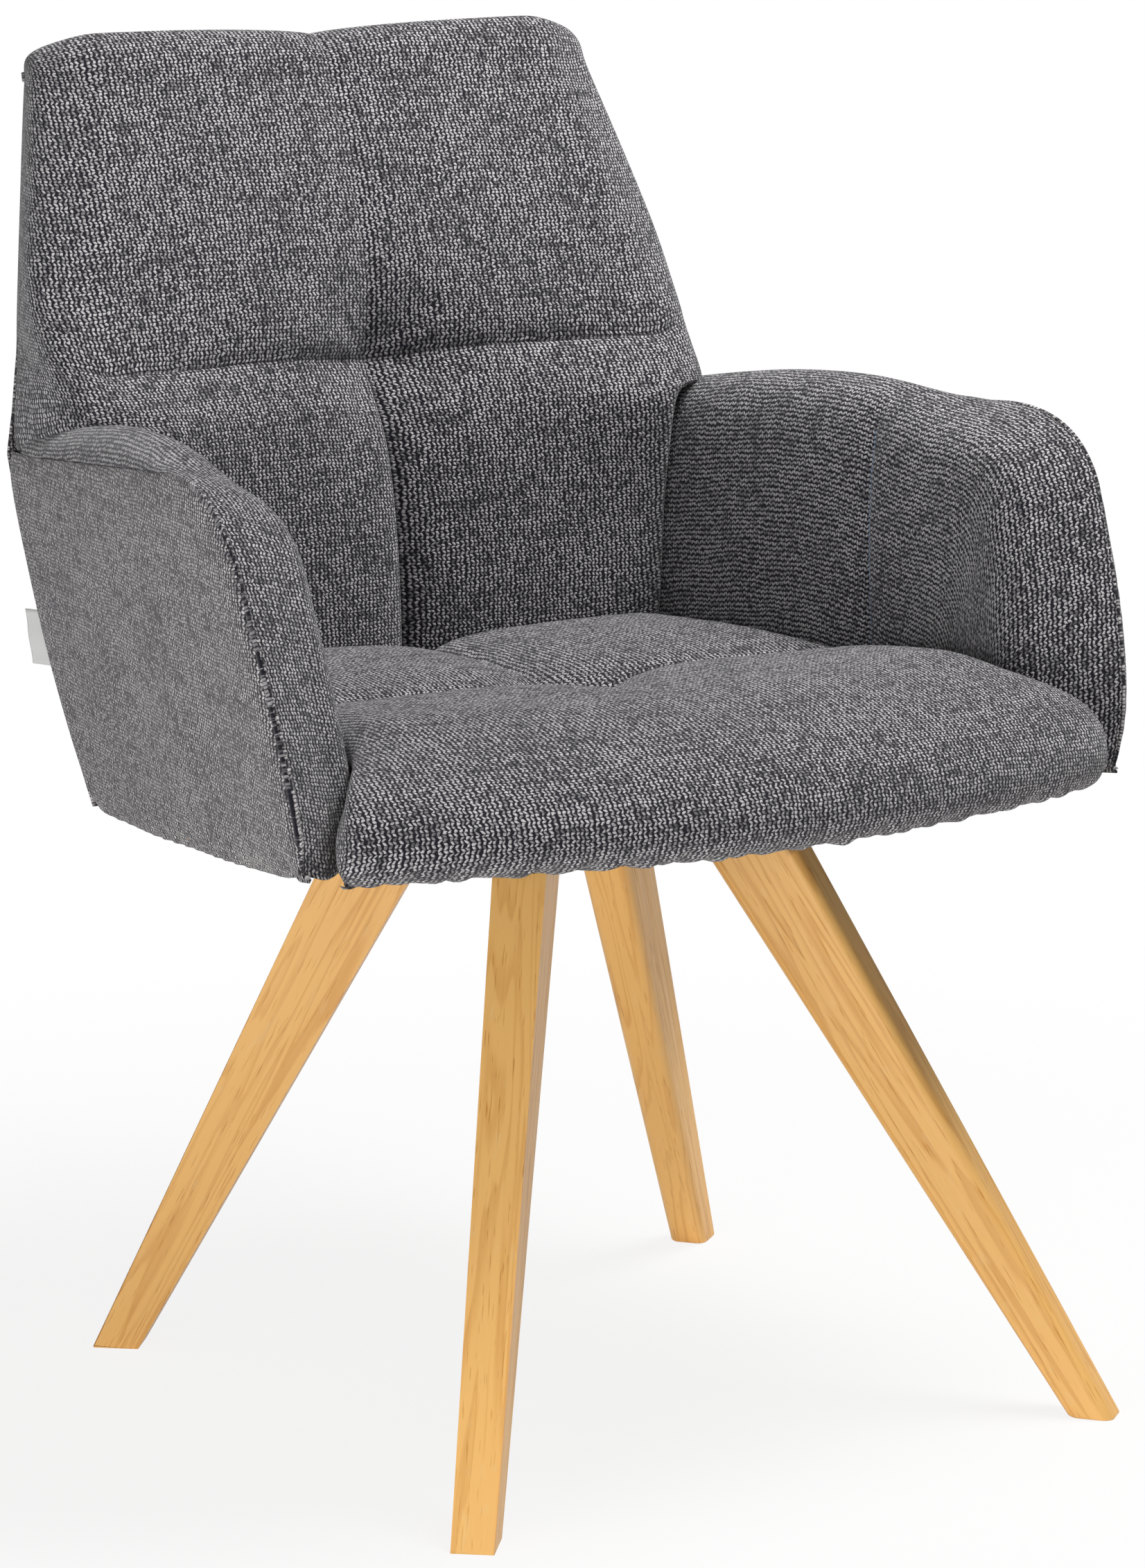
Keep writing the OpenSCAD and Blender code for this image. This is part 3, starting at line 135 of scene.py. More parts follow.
class ArmSizes(PropertyGroup):
    """The arm pads"""
    rear_height: length("Rear height", "Height of the outer seam at the back", 0.606)
    nose_height: length("Nose height", "Height at which the top and front edges would meet", 0.646)
    nose_reach: length("Nose reach", "How far ahead of the origin these edges would meet", 0.180)
    nose_top: length("Nose top", "Length of the rounded nose along the top", 0.095)
    nose_front: length("Nose front", "Length of the rounded nose down the front edge", 0.080)
    front_bow: length("Front bow", "How far the front edge bows out below the nose", 0.016)
    foot_reach: length("Foot reach", "How far ahead of the origin the arm's foot stands", 0.245)
    foot_round: length("Foot round", "How far the front edge turns back at its very foot", 0.011)
    crest: length("Crest", "Height of the band's crest above its seams", 0.017)
    nose_drop: length("Nose drop", "How far the inner edge lies below the outer seam at the nose", 0.014)
    foot_set_back: length("Foot set-back", "How far the inner edge lies behind the seam near the foot", 0.029)
    seam_place: length("Inner seam place", "Place of the upright inner seam ahead of the origin", 0.034)


class LegSizes(PropertyGroup):
    """The oak legs"""
    top_width: length("Top width", "Depth of a leg at its top, along its splay", 0.071)
    top_thickness: length("Top thickness", "Thickness of a leg at its top", 0.035)
    foot_width: length("Foot width", "Depth of a leg at its foot, along its splay", 0.031)
    foot_thickness: length("Foot thickness", "Thickness of a leg at its foot", 0.027)
    edge_radius: length("Edge radius", "Radius of a leg's long edges", 0.007)
    foot_chamfer: length("Foot chamfer", "Chamfer round a leg's foot", 0.0015)
    top_height: length("Top height", "Height of a leg's top", 0.404)


class ClothLook(PropertyGroup):
    """The woven cloth"""
    light: colour("Light yarn", "Colour of the pale yarn", (0.70, 0.675, 0.69))
    dark: colour("Dark yarn", "Colour of the dark ground", (0.014, 0.013, 0.020))
    pitch: length("Column pitch", "Distance between neighbouring zigzag columns", 0.0033)
    row_pitch: length("Row pitch", "Height of one stitch", 0.0023)
    zigzag: share("Zigzag", "How far the columns swing from side to side, in columns", 0.75, 0.0, 2.0)
    relief: length("Relief", "Height of the weave", 0.0008)


class OakLook(PropertyGroup):
    """The oiled oak"""
    pale: colour("Early wood", "Colour of the pale wood", (1.0, 0.57, 0.18))
    deep: colour("Late wood", "Colour of the grain lines", (0.72, 0.32, 0.065))
    gloss: share("Roughness", "Roughness of the oiled surface", 0.42)


class StageLook(PropertyGroup):
    """Floor, light and camera"""
    key: lamp_power("Key light", "Power of the large soft lamp", 58.0)
    fill: lamp_power("Fill light", "Power of the low side lamp", 27.0)
    sky: share("Sky", "Strength of the even light from all round", 0.19, 0.0, 3.0)
    lens: FloatProperty(name="Lens", description="Focal length on a 36 mm sensor", default=121.09, min=10.0,
                        unit="CAMERA")
    azimuth: degrees("Azimuth", "Camera's way round the chair in degrees", -31.3502)
    elevation: degrees("Elevation", "Camera's height over the horizon in degrees", 11.5531)
    distance: FloatProperty(name="Distance", description="Camera's distance", default=3.4653, min=0.5,
                            max=20.0, unit="LENGTH")
    roll: degrees("Roll", "Camera's turn about its own line of sight in degrees", -0.4183)
    cloth_rows: IntProperty(name="Cloth detail", description="Rows of faces between two control rows",
                            default=8, min=2, max=10)


class ArmchairSettings(PropertyGroup):
    """All settings of the armchair"""
    shell: PointerProperty(type=ShellSizes, name="Shell", description="The bucket's outer planes")
    seat: PointerProperty(type=SeatSizes, name="Seat", description="Sizes of the seat pad")
    back: PointerProperty(type=BackSizes, name="Back", description="Sizes of the back pad")
    arm: PointerProperty(type=ArmSizes, name="Arms", description="Sizes of the arm pads")
    leg: PointerProperty(type=LegSizes, name="Legs", description="Sizes of the legs")
    cloth: PointerProperty(type=ClothLook, name="Cloth", description="The woven cloth")
    oak: PointerProperty(type=OakLook, name="Oak", description="The oiled oak")
    stage: PointerProperty(type=StageLook, name="Stage", description="Floor, light and camera")


# Thickness of the quilted covers, the panel covers and the boards, and the usual clearance between pieces

COVER = 0.003
PANEL_COVER = 0.0025
BOARD = 0.012
GAP = 0.0003

# Where the arms are widest, where the outside back bows, and how the hem rises from the back

WIDEST_AHEAD = 0.188
WIDEST_Z = 0.600
BOW_LOW_Z = 0.372
BOW_RISE = 0.260
HEM_REAR_Y = 0.1805
HEM_SLOPE = 0.055
HEM_CURVE = 0.08

# How far over the seat board's underside the pads' sides end, and the round of an arm's inner edge

PAD_FOOT_RISE = 0.022
TURN_RADIUS = 0.022


# Small helpers

def lerp(a, b, t):
    """From a to b, as t goes from 0 to 1"""
    return a + (b - a) * t


def ease(t):
    """From 0 to 1 with a soft start and end"""
    t = np.clip(t, 0.0, 1.0)
    return t * t * (3.0 - 2.0 * t)


def curve(a, b, c, t):
    """A curve from a to c that is drawn towards b"""
    return (1 - t) ** 2 * a + 2 * t * (1 - t) * b + t * t * c


def fade(distance, reach):
    """1 at a line, creased there, and fading away from it"""
    return np.exp(-distance / reach)


def hump(distance, reach):
    """1 at a line, rounded there, and fading away from it"""
    return np.exp(-(distance / reach) ** 2)


def unit(v):
    """A direction with a length of 1"""
    return v / np.linalg.norm(v)


def settings():
    """The armchair's settings in the scene"""
    return bpy.context.scene.armchair


# The shell's planes, as functions of a place on them

def side_x(y, z):
    """Outer face of the left side"""
    shell = settings().shell
    return shell.arms_width / 2 - shell.toe * (y + WIDEST_AHEAD) + shell.lean * (z - WIDEST_Z)


def inner_x(y, z):
    """Inner face of the left arm"""
    return side_x(y, z) - settings().shell.arm_thickness


def back_y(z):
    """The outside back"""
    shell = settings().shell
    t = np.clip((z - BOW_LOW_Z) / BOW_RISE, 0.0, 1.0)
    return shell.back_plane + z * shell.back_rake + shell.back_bow * 4 * t * (1 - t)


def rake_cos():
    """Cosine of the back's rake"""
    return 1 / math.hypot(1.0, settings().shell.back_rake)


def board_face_y(z):
    """Front face of the back board"""
    return back_y(z) - (PANEL_COVER + BOARD + 2 * GAP) / rake_cos()


def hem_z(y):
    """Height of the shell's lower edge"""
    d = HEM_REAR_Y - y
    return settings().shell.hem_rear + HEM_SLOPE * d + HEM_CURVE * d * d


def pad_foot_z():
    """Height at which the seat's sides and the arms' inner panels end"""
    return settings().shell.board_height + PAD_FOOT_RISE


def front_half_width():
    """Half width of the seat's front roll, inside the arms' feet"""
    reach = settings().arm.foot_reach
    return side_x(-reach, hem_z(-reach)) - settings().seat.corner_inset


def hip_half_width():
    """Half width of the back just above the arms"""
    rear = settings().arm.rear_height
    return side_x(back_y(rear), rear) + settings().back.arm_lap


# Grids of points and the smooth surfaces through them

def spline_rows(count, steps):
    """Weights of a smooth curve through a row of control points, which ends at its end points"""
    weights = np.zeros(((count - 1) * steps + 1, count))
    for k in range(len(weights)):
        i = min(k // steps, count - 2)
        t = k / steps - i
        parts = ((1 - t) ** 3 / 6, (3 * t ** 3 - 6 * t ** 2 + 4) / 6,
                 (-3 * t ** 3 + 3 * t ** 2 + 3 * t + 1) / 6, t ** 3 / 6)
        for place, part in zip(range(i - 1, i + 3), parts):
            if place < 0:
                weights[k, 0] += 2 * part
                weights[k, 1] -= part
            elif place >= count:
                weights[k, count - 1] += 2 * part
                weights[k, count - 2] -= part
            else:
                weights[k, place] += part
    return weights


def smooth_grid(points, steps):
    """A fine grid of points on the smooth surface of a coarse one"""
    points = np.asarray(points)
    rows = spline_rows(points.shape[0], steps)
    cols = spline_rows(points.shape[1], steps)
    return np.einsum("ri,ijk,cj->rck", rows, points, cols)


def grid_normals(points):
    """Outward directions of a grid's points"""
    across = np.gradient(points, axis=1)
    along = np.gradient(points, axis=0)
    normals = np.cross(across, along)
    return normals / np.maximum(np.linalg.norm(normals, axis=2, keepdims=True), 1e-12)


def cloth_uv(points, middle, start):
    """Lengths along the cloth from its middle column and its first row, in metres"""
    across = np.linalg.norm(np.diff(points, axis=1), axis=2)
    along = np.linalg.norm(np.diff(points, axis=0), axis=2)
    u = np.concatenate([np.zeros((len(points), 1)), np.cumsum(across, axis=1)], axis=1)
    v = np.concatenate([np.zeros((1, points.shape[1])), np.cumsum(along, axis=0)], axis=0)
    u -= u[:, middle:middle + 1]
    v -= v[start:start + 1, :]
    return np.stack([u, lerp(v, v[:, middle:middle + 1], 0.75)], axis=2)


def ripple(values, seed, waves, low, high):
    """A smooth random wave of values from -1 to 1"""
    dice = random.Random(seed)
    total = np.zeros_like(values)
    for _ in range(waves):
        total += np.sin(values * lerp(low, high, dice.random()) + dice.random() * 6.2832)
    return total / math.sqrt(waves) / 1.4


def mesh_piece(name, bm, node_names, thickness=0.0):
    """Turns a bmesh into a piece that rides on the chair and stands for its nodes, thickened inwards"""
    mesh = bpy.data.meshes.new(name)
    bm.to_mesh(mesh)
    bm.free()
    mesh.shade_smooth()
    piece = bpy.data.objects.new(name, mesh)
    if thickness:
        shell = piece.modifiers.new("thickness", "SOLIDIFY")
        shell.thickness = thickness
        shell.offset = -1.0
        shell.use_even_offset = False
    bpy.context.scene.collection.objects.link(piece)
    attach(piece, "root")
    if node_names:
        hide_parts(*node_names)
    return piece


def cloth_bmesh(points, uv, seams=None):
    """A grid of faces moved onto the points, with UV maps of the cloth's lengths and its seam distances"""
    rows, cols = points.shape[:2]
    bm = bmesh.new()
    bmesh.ops.create_grid(bm, x_segments=cols - 1, y_segments=rows - 1, size=1.0)
    layer = bm.loops.layers.uv.new("Cloth")
    seam_layer = bm.loops.layers.uv.new("Seams")
    place = {}
    for vert in bm.verts:
        col = round((vert.co.x + 1) / 2 * (cols - 1))
        row = round((vert.co.y + 1) / 2 * (rows - 1))
        place[vert] = (row, col)
    for face in bm.faces:
        for loop in face.loops:
            loop[layer].uv = uv[place[loop.vert]]
            loop[seam_layer].uv = (1.0, 1.0) if seams is None else seams[place[loop.vert]]
    for vert, spot in place.items():
        vert.co = points[spot]
    return bm


def sided(bm, side):
    """The left arm's mesh, mirrored for the right arm"""
    if side == "right":
        bmesh.ops.scale(bm, vec=(-1, 1, 1), verts=bm.verts)
        bmesh.ops.reverse_faces(bm, faces=bm.faces[:])
    return bm


def cut_across(bm, axis, places, dist):
    """Cuts a mesh at each place along an axis, so that its long faces become short ones"""
    way = Vector((0.0, 0.0, 0.0))
    way[axis] = 1.0
    for place in places:
        everything = bm.verts[:] + bm.edges[:] + bm.faces[:]
        bmesh.ops.bisect_plane(bm, geom=everything, plane_co=way * float(place), plane_no=way, dist=dist)


# Added to a seam's distance where the seam isn't sewn, so that no dark seam line (drawn-in yarn and painted
# groove shade) is drawn there

NOT_SEWN = 0.5


# Seat pad

SEAT_HALF = 12
SEAT_WALL = 3
SEAT_SEAM_ROW = 8
SEAT_CROWN_ROW = 14
SEAT_FRONT_ROW = 19
SEAT_ROWS = 24
ROLL_DEPTH = 0.120
ROLL_RISE = 0.052


def seat_crown_y():
    """Place of the seat's crown, where its top turns down into the front roll"""
    return ROLL_DEPTH - settings().seat.front_reach


def seat_top_z(y):
    """Height of the seat's top, which rises towards its crown"""
    seat = settings().seat
    crown_y = seat_crown_y()
    t = np.clip((seat.rear_reach - y) / (seat.rear_reach - crown_y), 0, 1)
    return lerp(seat.rear_height, seat.crown_height, t)


def seat_path(j):
    """Place (y, z) of a control row on the seat's middle line"""
    seat = settings().seat
    under_z = settings().shell.board_height - 5 * GAP - COVER
    crown_y = seat_crown_y()
    roll_z = seat.crown_height - ROLL_RISE
    lower = roll_z - under_z
    if j == 0:
        return seat.rear_reach, pad_foot_z()
    if j == 1:
        return seat.rear_reach, seat.rear_height - 0.014
    if j == 2:
        return seat.rear_reach - 0.008, seat.rear_height - 0.003
    if j <= SEAT_SEAM_ROW:
        y = lerp(seat.rear_reach - 0.022, -seat.seam_set_back, (j - 3) / (SEAT_SEAM_ROW - 3))
        return y, seat_top_z(y)
    if j <= SEAT_CROWN_ROW:
        y = lerp(-seat.seam_set_back, crown_y, (j - SEAT_SEAM_ROW) / (SEAT_CROWN_ROW - SEAT_SEAM_ROW))
        return y, seat_top_z(y)
    if j <= SEAT_FRONT_ROW:
        a = math.pi / 2 * (SEAT_FRONT_ROW - j) / (SEAT_FRONT_ROW - SEAT_CROWN_ROW)
        return crown_y - ROLL_DEPTH * math.cos(a), roll_z + ROLL_RISE * math.sin(a)
    if j < SEAT_ROWS:
        a = math.pi / 2 * (j - SEAT_FRONT_ROW) / (SEAT_ROWS - 1 - SEAT_FRONT_ROW)
        return -seat.front_reach + lower * (1 - math.cos(a)), roll_z - lower * math.sin(a)
    return -seat.front_reach + lower + 0.020, under_z


def seat_half_w(y, z):
    """Half width of the seat, which widens ahead of the arms"""
    return lerp(inner_x(y, z) - 4 * GAP, front_half_width(), ease((-y - 0.200) / 0.062))


def seat_corner(j):
    """1 on the rows that wrap round the front corners"""
    return ease((j - SEAT_FRONT_ROW + 2) / 2) * (1 - ease((j - SEAT_FRONT_ROW - 2) / 2))


def seat_point(j, i):
    """Control point of the seat pad, without its seams"""
    seat = settings().seat
    side_z = pad_foot_z()
    side = 1 if i < SEAT_HALF else -1
    a = abs(i - SEAT_HALF)
    # 0 on the top, then 1 to 3 round its edge and down the side
    wall = max(a - (SEAT_HALF - SEAT_WALL), 0)
    path = seat_path(j)
    roll = ease((j - SEAT_CROWN_ROW + 3) / (SEAT_FRONT_ROW - SEAT_CROWN_ROW + 2))
    if j <= SEAT_SEAM_ROW:
        sweep = -0.012 * (1 - ease(j / SEAT_SEAM_ROW))
    else:
        sweep = seat.corner_sweep * ease((j - SEAT_SEAM_ROW) / (SEAT_FRONT_ROW - 1 - SEAT_SEAM_ROW))
    w = seat_half_w(path[0] + sweep, seat.crown_height - 0.016)
    if wall == 0:
        u = a / (SEAT_HALF - SEAT_WALL) * (w - 0.028) / w
    else:
        u = (w - 0.012) / w if wall == 1 else 1.0
    # Below its middle the roll's corner fills out again, down to the arms' feet
    wrap = seat.corner_wrap * (1 - 0.8 * ease((j - SEAT_FRONT_ROW) / 4))
    y = path[0] + sweep * u * u + roll * (0, 0.003, 0.011, wrap)[wall]
    wall_z = max(path[1] - (0, 0.002, 0.012, 0)[wall], side_z)
    z = lerp(side_z, path[1], roll) if wall == 3 else lerp(wall_z, path[1], roll)
    x = w * u - (0.0015 if wall == 2 else 0)
    if wall == 3:
        x = lerp(seat_half_w(y, z), front_half_width() - seat.corner_tuck, seat_corner(j))
    sag = 0.004 * (x / front_half_width()) ** 6 * ease((j - SEAT_FRONT_ROW) / 3)
    return side * x, y, z - sag + (0.003 * (1 - roll) if wall == 0 else 0)


def seat_valley(distance):
    """A sewn valley of the seat: soft slopes and a tight bottom"""
    return fade(distance, 0.024) * 0.8 + fade(distance, 0.005) * 0.25


def seat_surface():
    """Fine points of the seat pad, the lengths along its cloth and its seam distances"""
    seat = settings().seat
    steps = settings().stage.cloth_rows
    control = [[seat_point(j, i) for i in range(2 * SEAT_HALF + 1)] for j in range(SEAT_ROWS + 1)]
    points = smooth_grid(control, steps)
    uv = cloth_uv(points, SEAT_HALF * steps, SEAT_SEAM_ROW * steps)
    rows = np.arange(points.shape[0])[:, None] / steps
    x, y, z = points[..., 0], points[..., 1], points[..., 2]
    seam_y = -seat.seam_set_back + 0.006 * np.cos(x * 11.0)
    top = 1 - ease((rows - SEAT_CROWN_ROW + 1) / 4)
    rear = ease((rows - 0.5) / 1.5)
    inside = ease((seat_half_w(y, z) - np.abs(x)) / 0.030)
    across = np.abs(y - seam_y)
    # The lengthwise valley fades ahead of the crossing seam
    ahead = ease((y + 0.200) / 0.150)
    along = np.abs(x)
    sewn = seat_valley(across) * top * inside
    sewn_along = seat_valley(along) * top * ahead * rear
    # The pulled-in centre and the folds that run out from it
    reach = np.hypot(x, y + seat.seam_set_back)
    tuft = hump(reach, 0.040) * top
    way = np.arctan2(y + seat.seam_set_back, x)
    folds = np.sin(way * 5 + 0.7) * np.sin(way * 3 + 2.0) * fade(reach, 0.045) * (1 - hump(reach, 0.02))
    # The four quilted fields swell a little between the seams
    swell = 0.004 * (1 - fade(across, 0.05)) * (1 - fade(along, 0.06)) * top * inside * rear
    # Gathers along the stapled front hem, pulled in at uneven places
    under = ease((rows - SEAT_FRONT_ROW - 0.5) / 3.0)
    gather = ripple(x, 4, 5, 120.0, 420.0) * 0.7 + ripple(x, 9, 3, 500.0, 800.0) * 0.3
    gather = gather + 0.5 * ripple(x * 3 + rows * 0.02, 11, 3, 60.0, 90.0)
    soft = ripple(x + 0.6 * y, 21, 4, 14.0, 40.0) * ripple(y - 0.4 * x, 22, 4, 16.0, 44.0)
    depth = (seat.seam_depth * (sewn + sewn_along) + seat.tuft_depth * tuft - 0.0018 * folds - swell
             - seat.pucker * under * gather - 0.0011 * soft * inside)
    normals = grid_normals(points)
    crosswise = y - seam_y + NOT_SEWN * (1 - top * inside)
    lengthwise = x + NOT_SEWN * (1 - top * ahead * rear)
    seams = np.stack([crosswise, lengthwise], axis=2)
    return points - normals * depth[..., None], uv, seams


# Back pad

BACK_HALF = 12
BACK_WALL = 3
BACK_HIP_ROW = 8
BACK_OPEN_ROW = 10
BACK_SEAM_ROW = 12
BACK_FACE_ROW = 18
BACK_CREST_ROW = 22
BACK_ROWS = 24
BACK_LOW = 0.434
BACK_FREE_Z = 0.640
HIP_STEP = 0.002
CROWN_TURN_Z = 0.633
CROWN_AHEAD = -0.044
FULL_TAPER = 0.009


def hip_height():
    """Height at which the pad passes from between the arms to over them"""
    return settings().arm.rear_height + settings().arm.crest + 0.001


def back_face_z():
    """Height at which the pad's flat face ends and its top edge begins"""
    return settings().back.top_height - settings().back.edge_rise


def back_row_z(j):
    """Height of a control row on the pad's middle line"""
    back = settings().back
    hip = hip_height()
    if j < BACK_HIP_ROW - 2:
        return lerp(BACK_LOW, hip - TURN_RADIUS - 0.003, j / (BACK_HIP_ROW - 3))
    if j <= BACK_HIP_ROW:
        return hip - (0.013, 0.005, 0.0)[j - BACK_HIP_ROW + 2]
    if j <= BACK_OPEN_ROW:
        return hip + HIP_STEP * (j - BACK_HIP_ROW) / 2
    if j <= BACK_SEAM_ROW:
        return lerp(hip + HIP_STEP, back.seam_height, (j - BACK_OPEN_ROW) / (BACK_SEAM_ROW - BACK_OPEN_ROW))
    t = min((j - BACK_SEAM_ROW) / (BACK_FACE_ROW - BACK_SEAM_ROW), 1)
    return lerp(back.seam_height, back_face_z(), t)


def back_face_y(z):
    """The pad's middle line, seen from the side"""
    back = settings().back
    t = np.clip((z - BACK_LOW) / (back_face_z() - BACK_LOW), 0, 1)
    return curve(back.low_place, back.middle_place, back.high_place, t)


def back_wrap(z):
    """0 where the pad lies between the arms, 1 where it lies over them"""
    return np.clip((z - hip_height()) / HIP_STEP, 0, 1)


def back_open(z):
    """How far the pad has widened, from between the arms round their inner edges to over them"""
    below = np.clip((hip_height() - z) / TURN_RADIUS, 0, 1)
    rounding = TURN_RADIUS / settings().shell.arm_thickness * (1 - np.sqrt(1 - (1 - below) ** 2))
    return lerp(rounding, 1, back_wrap(z))


def back_upper_w(z):
    """Half width of the pad over the arms"""
    t = np.clip((z - BACK_FREE_Z) / (back_face_z() - BACK_FREE_Z), 0, 1)
    return lerp(hip_half_width(), settings().back.top_half_width, t)


def back_half_w(y, z):
    """Half width of the pad at any height"""
    return lerp(inner_x(y, z) - 4 * GAP, back_upper_w(z), back_open(z))


def back_face_w(z):
    """Half width of the pad's face, which widens more softly"""
    narrow = inner_x(back_face_y(z), z) - 4 * GAP
    return lerp(narrow, back_upper_w(z), ease((z - hip_height()) / 0.050))


def back_crown(z):
    """How far the face's side edges stand behind its middle: ahead of it where the pad meets the arms"""
    if z < CROWN_TURN_Z:
        return lerp(-0.015, CROWN_AHEAD, ease((z - 0.530) / 0.110))
    return lerp(CROWN_AHEAD, 0.002, ease((z - CROWN_TURN_Z) / 0.070))


def back_bulge(z):
    """How far the pad's side stands out over the arms"""
    return lerp(-0.004, 0.017, ease((z - BACK_FREE_Z) / 0.080)) * back_open(z)


def back_taper(z):
    """How far the pad's rear edge is drawn in, most where its sides come free of the arms"""
    if z < BACK_FREE_Z:
        return back_open(z) * lerp(0.001, FULL_TAPER, np.clip((z - 0.610) / 0.030, 0, 1))
    return lerp(FULL_TAPER, 0.001, np.clip((z - BACK_FREE_Z) / 0.200, 0, 1))


def back_rear_y(z):
    """Rear of the pad: against the back board between the arms, and against the outside cover over them"""
    inner = PANEL_COVER + BOARD + 4 * GAP
    outer = PANEL_COVER + 2 * GAP
    return back_y(z) - lerp(inner, outer, back_wrap(z)) / rake_cos()


def back_point(j, i):
    """Control point of the back pad, without its seams"""
    back = settings().back
    arm = settings().arm
    side = -1 if i < BACK_HALF else 1
    a = abs(i - BACK_HALF)
    wall = max(a - (BACK_HALF - BACK_WALL), 0)
    z = back_row_z(j)
    if j <= BACK_CREST_ROW:
        angle = math.pi - math.pi / 2 * (j - BACK_FACE_ROW) / (BACK_CREST_ROW - BACK_FACE_ROW)
    else:
        angle = math.pi / 2 - math.pi / 2 * (j - BACK_CREST_ROW) / (BACK_ROWS - BACK_CREST_ROW)
    w = back_half_w(back_face_y(z), z)
    face_w = back_face_w(z)
    hip = back_open(z) * (1 - ease((z - BACK_FREE_Z) / 0.050))
    rear = back_rear_y(z)
    if wall == 0:
        x = a / (BACK_HALF - BACK_WALL) * (face_w - 0.026)
    elif wall == 1:
        x = w - 0.009 + back_bulge(z) / 3 - 0.020 * hip
    elif wall == 2:
        x = w + back_bulge(z) * (0.55 - 0.45 * math.cos(angle) if j > BACK_FACE_ROW else 1)
    else:
        x = back_half_w(rear, z) - back_taper(z)
    if wall > 1 and j > BACK_CREST_ROW:
        x -= 0.002 * (j - BACK_CREST_ROW)
    u = min(x / face_w, 1)
    front = back_face_y(z) + back_crown(z) * u * u
    share_back = lerp((0, 0.02, 0.1, 1)[wall], (0, 0.1, 0.3, 1)[wall], back_open(z))
    y = lerp(front, rear, share_back)
    rise = back.edge_rise * (1, 0.9, 0.62, 0.2)[wall]
    if j <= BACK_FACE_ROW:
        # The rows over the arms follow the arms' slope and the round of their bands
        arm_rear_y = back_y(arm.rear_height)
        slope = (arm.nose_height - arm.rear_height) / (arm_rear_y + arm.nose_reach)
        thickness = settings().shell.arm_thickness
        inside = min(max(side_x(y, z) - x, 0), thickness / 2)
        lift = slope * (arm_rear_y - y) - arm.crest * (1 - math.sin(math.pi * inside / thickness))
        lift -= (0, 0.0025, 0.006, 0.020)[wall]
        lift *= 1 - ease(abs(z - hip_height() - 0.001) / 0.022)
        return side * x, y, z + (lift if wall else 0)
    depth = rear - y + (0.004 if wall == 3 else 0)
    return side * x, (y + rear) / 2 + depth / 2 * math.cos(angle), z + rise * math.sin(angle)


def back_surface():
    """Fine points of the back pad, the lengths along its cloth and its seam distances"""
    back = settings().back
    steps = settings().stage.cloth_rows
    control = [[back_point(j, i) for i in range(2 * BACK_HALF + 1)] for j in range(BACK_ROWS + 1)]
    points = smooth_grid(control, steps)
    uv = cloth_uv(points, BACK_HALF * steps, BACK_SEAM_ROW * steps)
    rows = np.arange(points.shape[0])[:, None] / steps
    x, y, z = points[..., 0], points[..., 1], points[..., 2]
    face_w = np.maximum(back_upper_w(z), 0.150)
    inside = ease((face_w - np.abs(x)) / 0.038)
    face = 1 - ease((rows - BACK_CREST_ROW + 1.0) / 2.0)
    sag = 0.010 * (np.abs(x) / 0.20) ** 1.5
    above = z - (back.seam_height + sag * 0.4)
    along = np.abs(x)
    # The crossing seam: the upper fields hang over the lower ones
    lip = np.where(above > 0, fade(above, 0.016), fade(-above, 0.034))
    sewn = (lip * 0.85 + fade(np.abs(above), 0.004) * 0.35) * inside
    # The upright seam: a wide soft valley above the crossing and a narrow one below it
    low = ease((back.seam_height - z) / 0.040)
    high = 1 - low
    wide = fade(along, 0.034) * (1 - 0.65 * ease((z - 0.69) / 0.14))
    narrow = fade(along, 0.020) + 0.5 * fade(along, 0.004)
    sewn_along = (high * (0.62 * wide + 0.12 * fade(along, 0.005)) + low * 0.95 * narrow) * face
    # The pulled-in centre and the folds that run out from it
    reach = np.hypot(x, z - back.seam_height)
    tuft = hump(reach, 0.042)
    way = np.arctan2(z - back.seam_height, x)
    folds = (np.sin(way * 5 + 1.1) + 0.8 * np.sin(way * 7 + 0.3)) * fade(reach, 0.055)
    folds = folds * (1 - hump(reach, 0.022))
    swell_low = 0.007 * low * (1 - fade(along, 0.05)) * (1 - fade(np.maximum(-above, 0), 0.05))
    swell_high = 0.005 * high * (1 - fade(along, 0.07)) * (1 - fade(np.maximum(above, 0), 0.06))
    soft = ripple(x + 0.5 * z, 31, 4, 12.0, 36.0) * ripple(z - 0.5 * x, 32, 4, 14.0, 40.0)
    # The small dip where the upright seam passes over the top edge
    notch = fade(along, 0.022) * ease((rows - BACK_FACE_ROW) / 3.0) * 0.1
    depth = (back.seam_depth * (sewn + sewn_along + notch) + back.tuft_depth * tuft - 0.0022 * folds
             - (swell_low + swell_high) * inside * face - 0.0013 * soft * inside)
    normals = grid_normals(points)
    # Above the crossing seam the upright line is drawn fainter
    upright = along + NOT_SEWN * (1 - face) + 0.0011 * high
    seams = np.stack([above + NOT_SEWN * (1 - ease(inside * 3) * face), upright], axis=2)
    return points - normals * depth[..., None], uv, seams


# Arm pads, on the sitter's left, mirrored for the right

ARM_TOP = 12
ARM_NOSE = 6
ARM_FRONT = 8
ARM_ROWS = ARM_TOP + ARM_NOSE + ARM_FRONT
BAND_COLS = 6
TURN_COLS = 3
PANEL_COLS = 5
ARM_COLS = BAND_COLS + TURN_COLS + PANEL_COLS
SEAM_STATION = 10
SEAM_TOP_Z = 0.640
SEAM_FALL = 0.165
SEAM_LEAN = 0.024
STITCH_PITCH = 0.0033


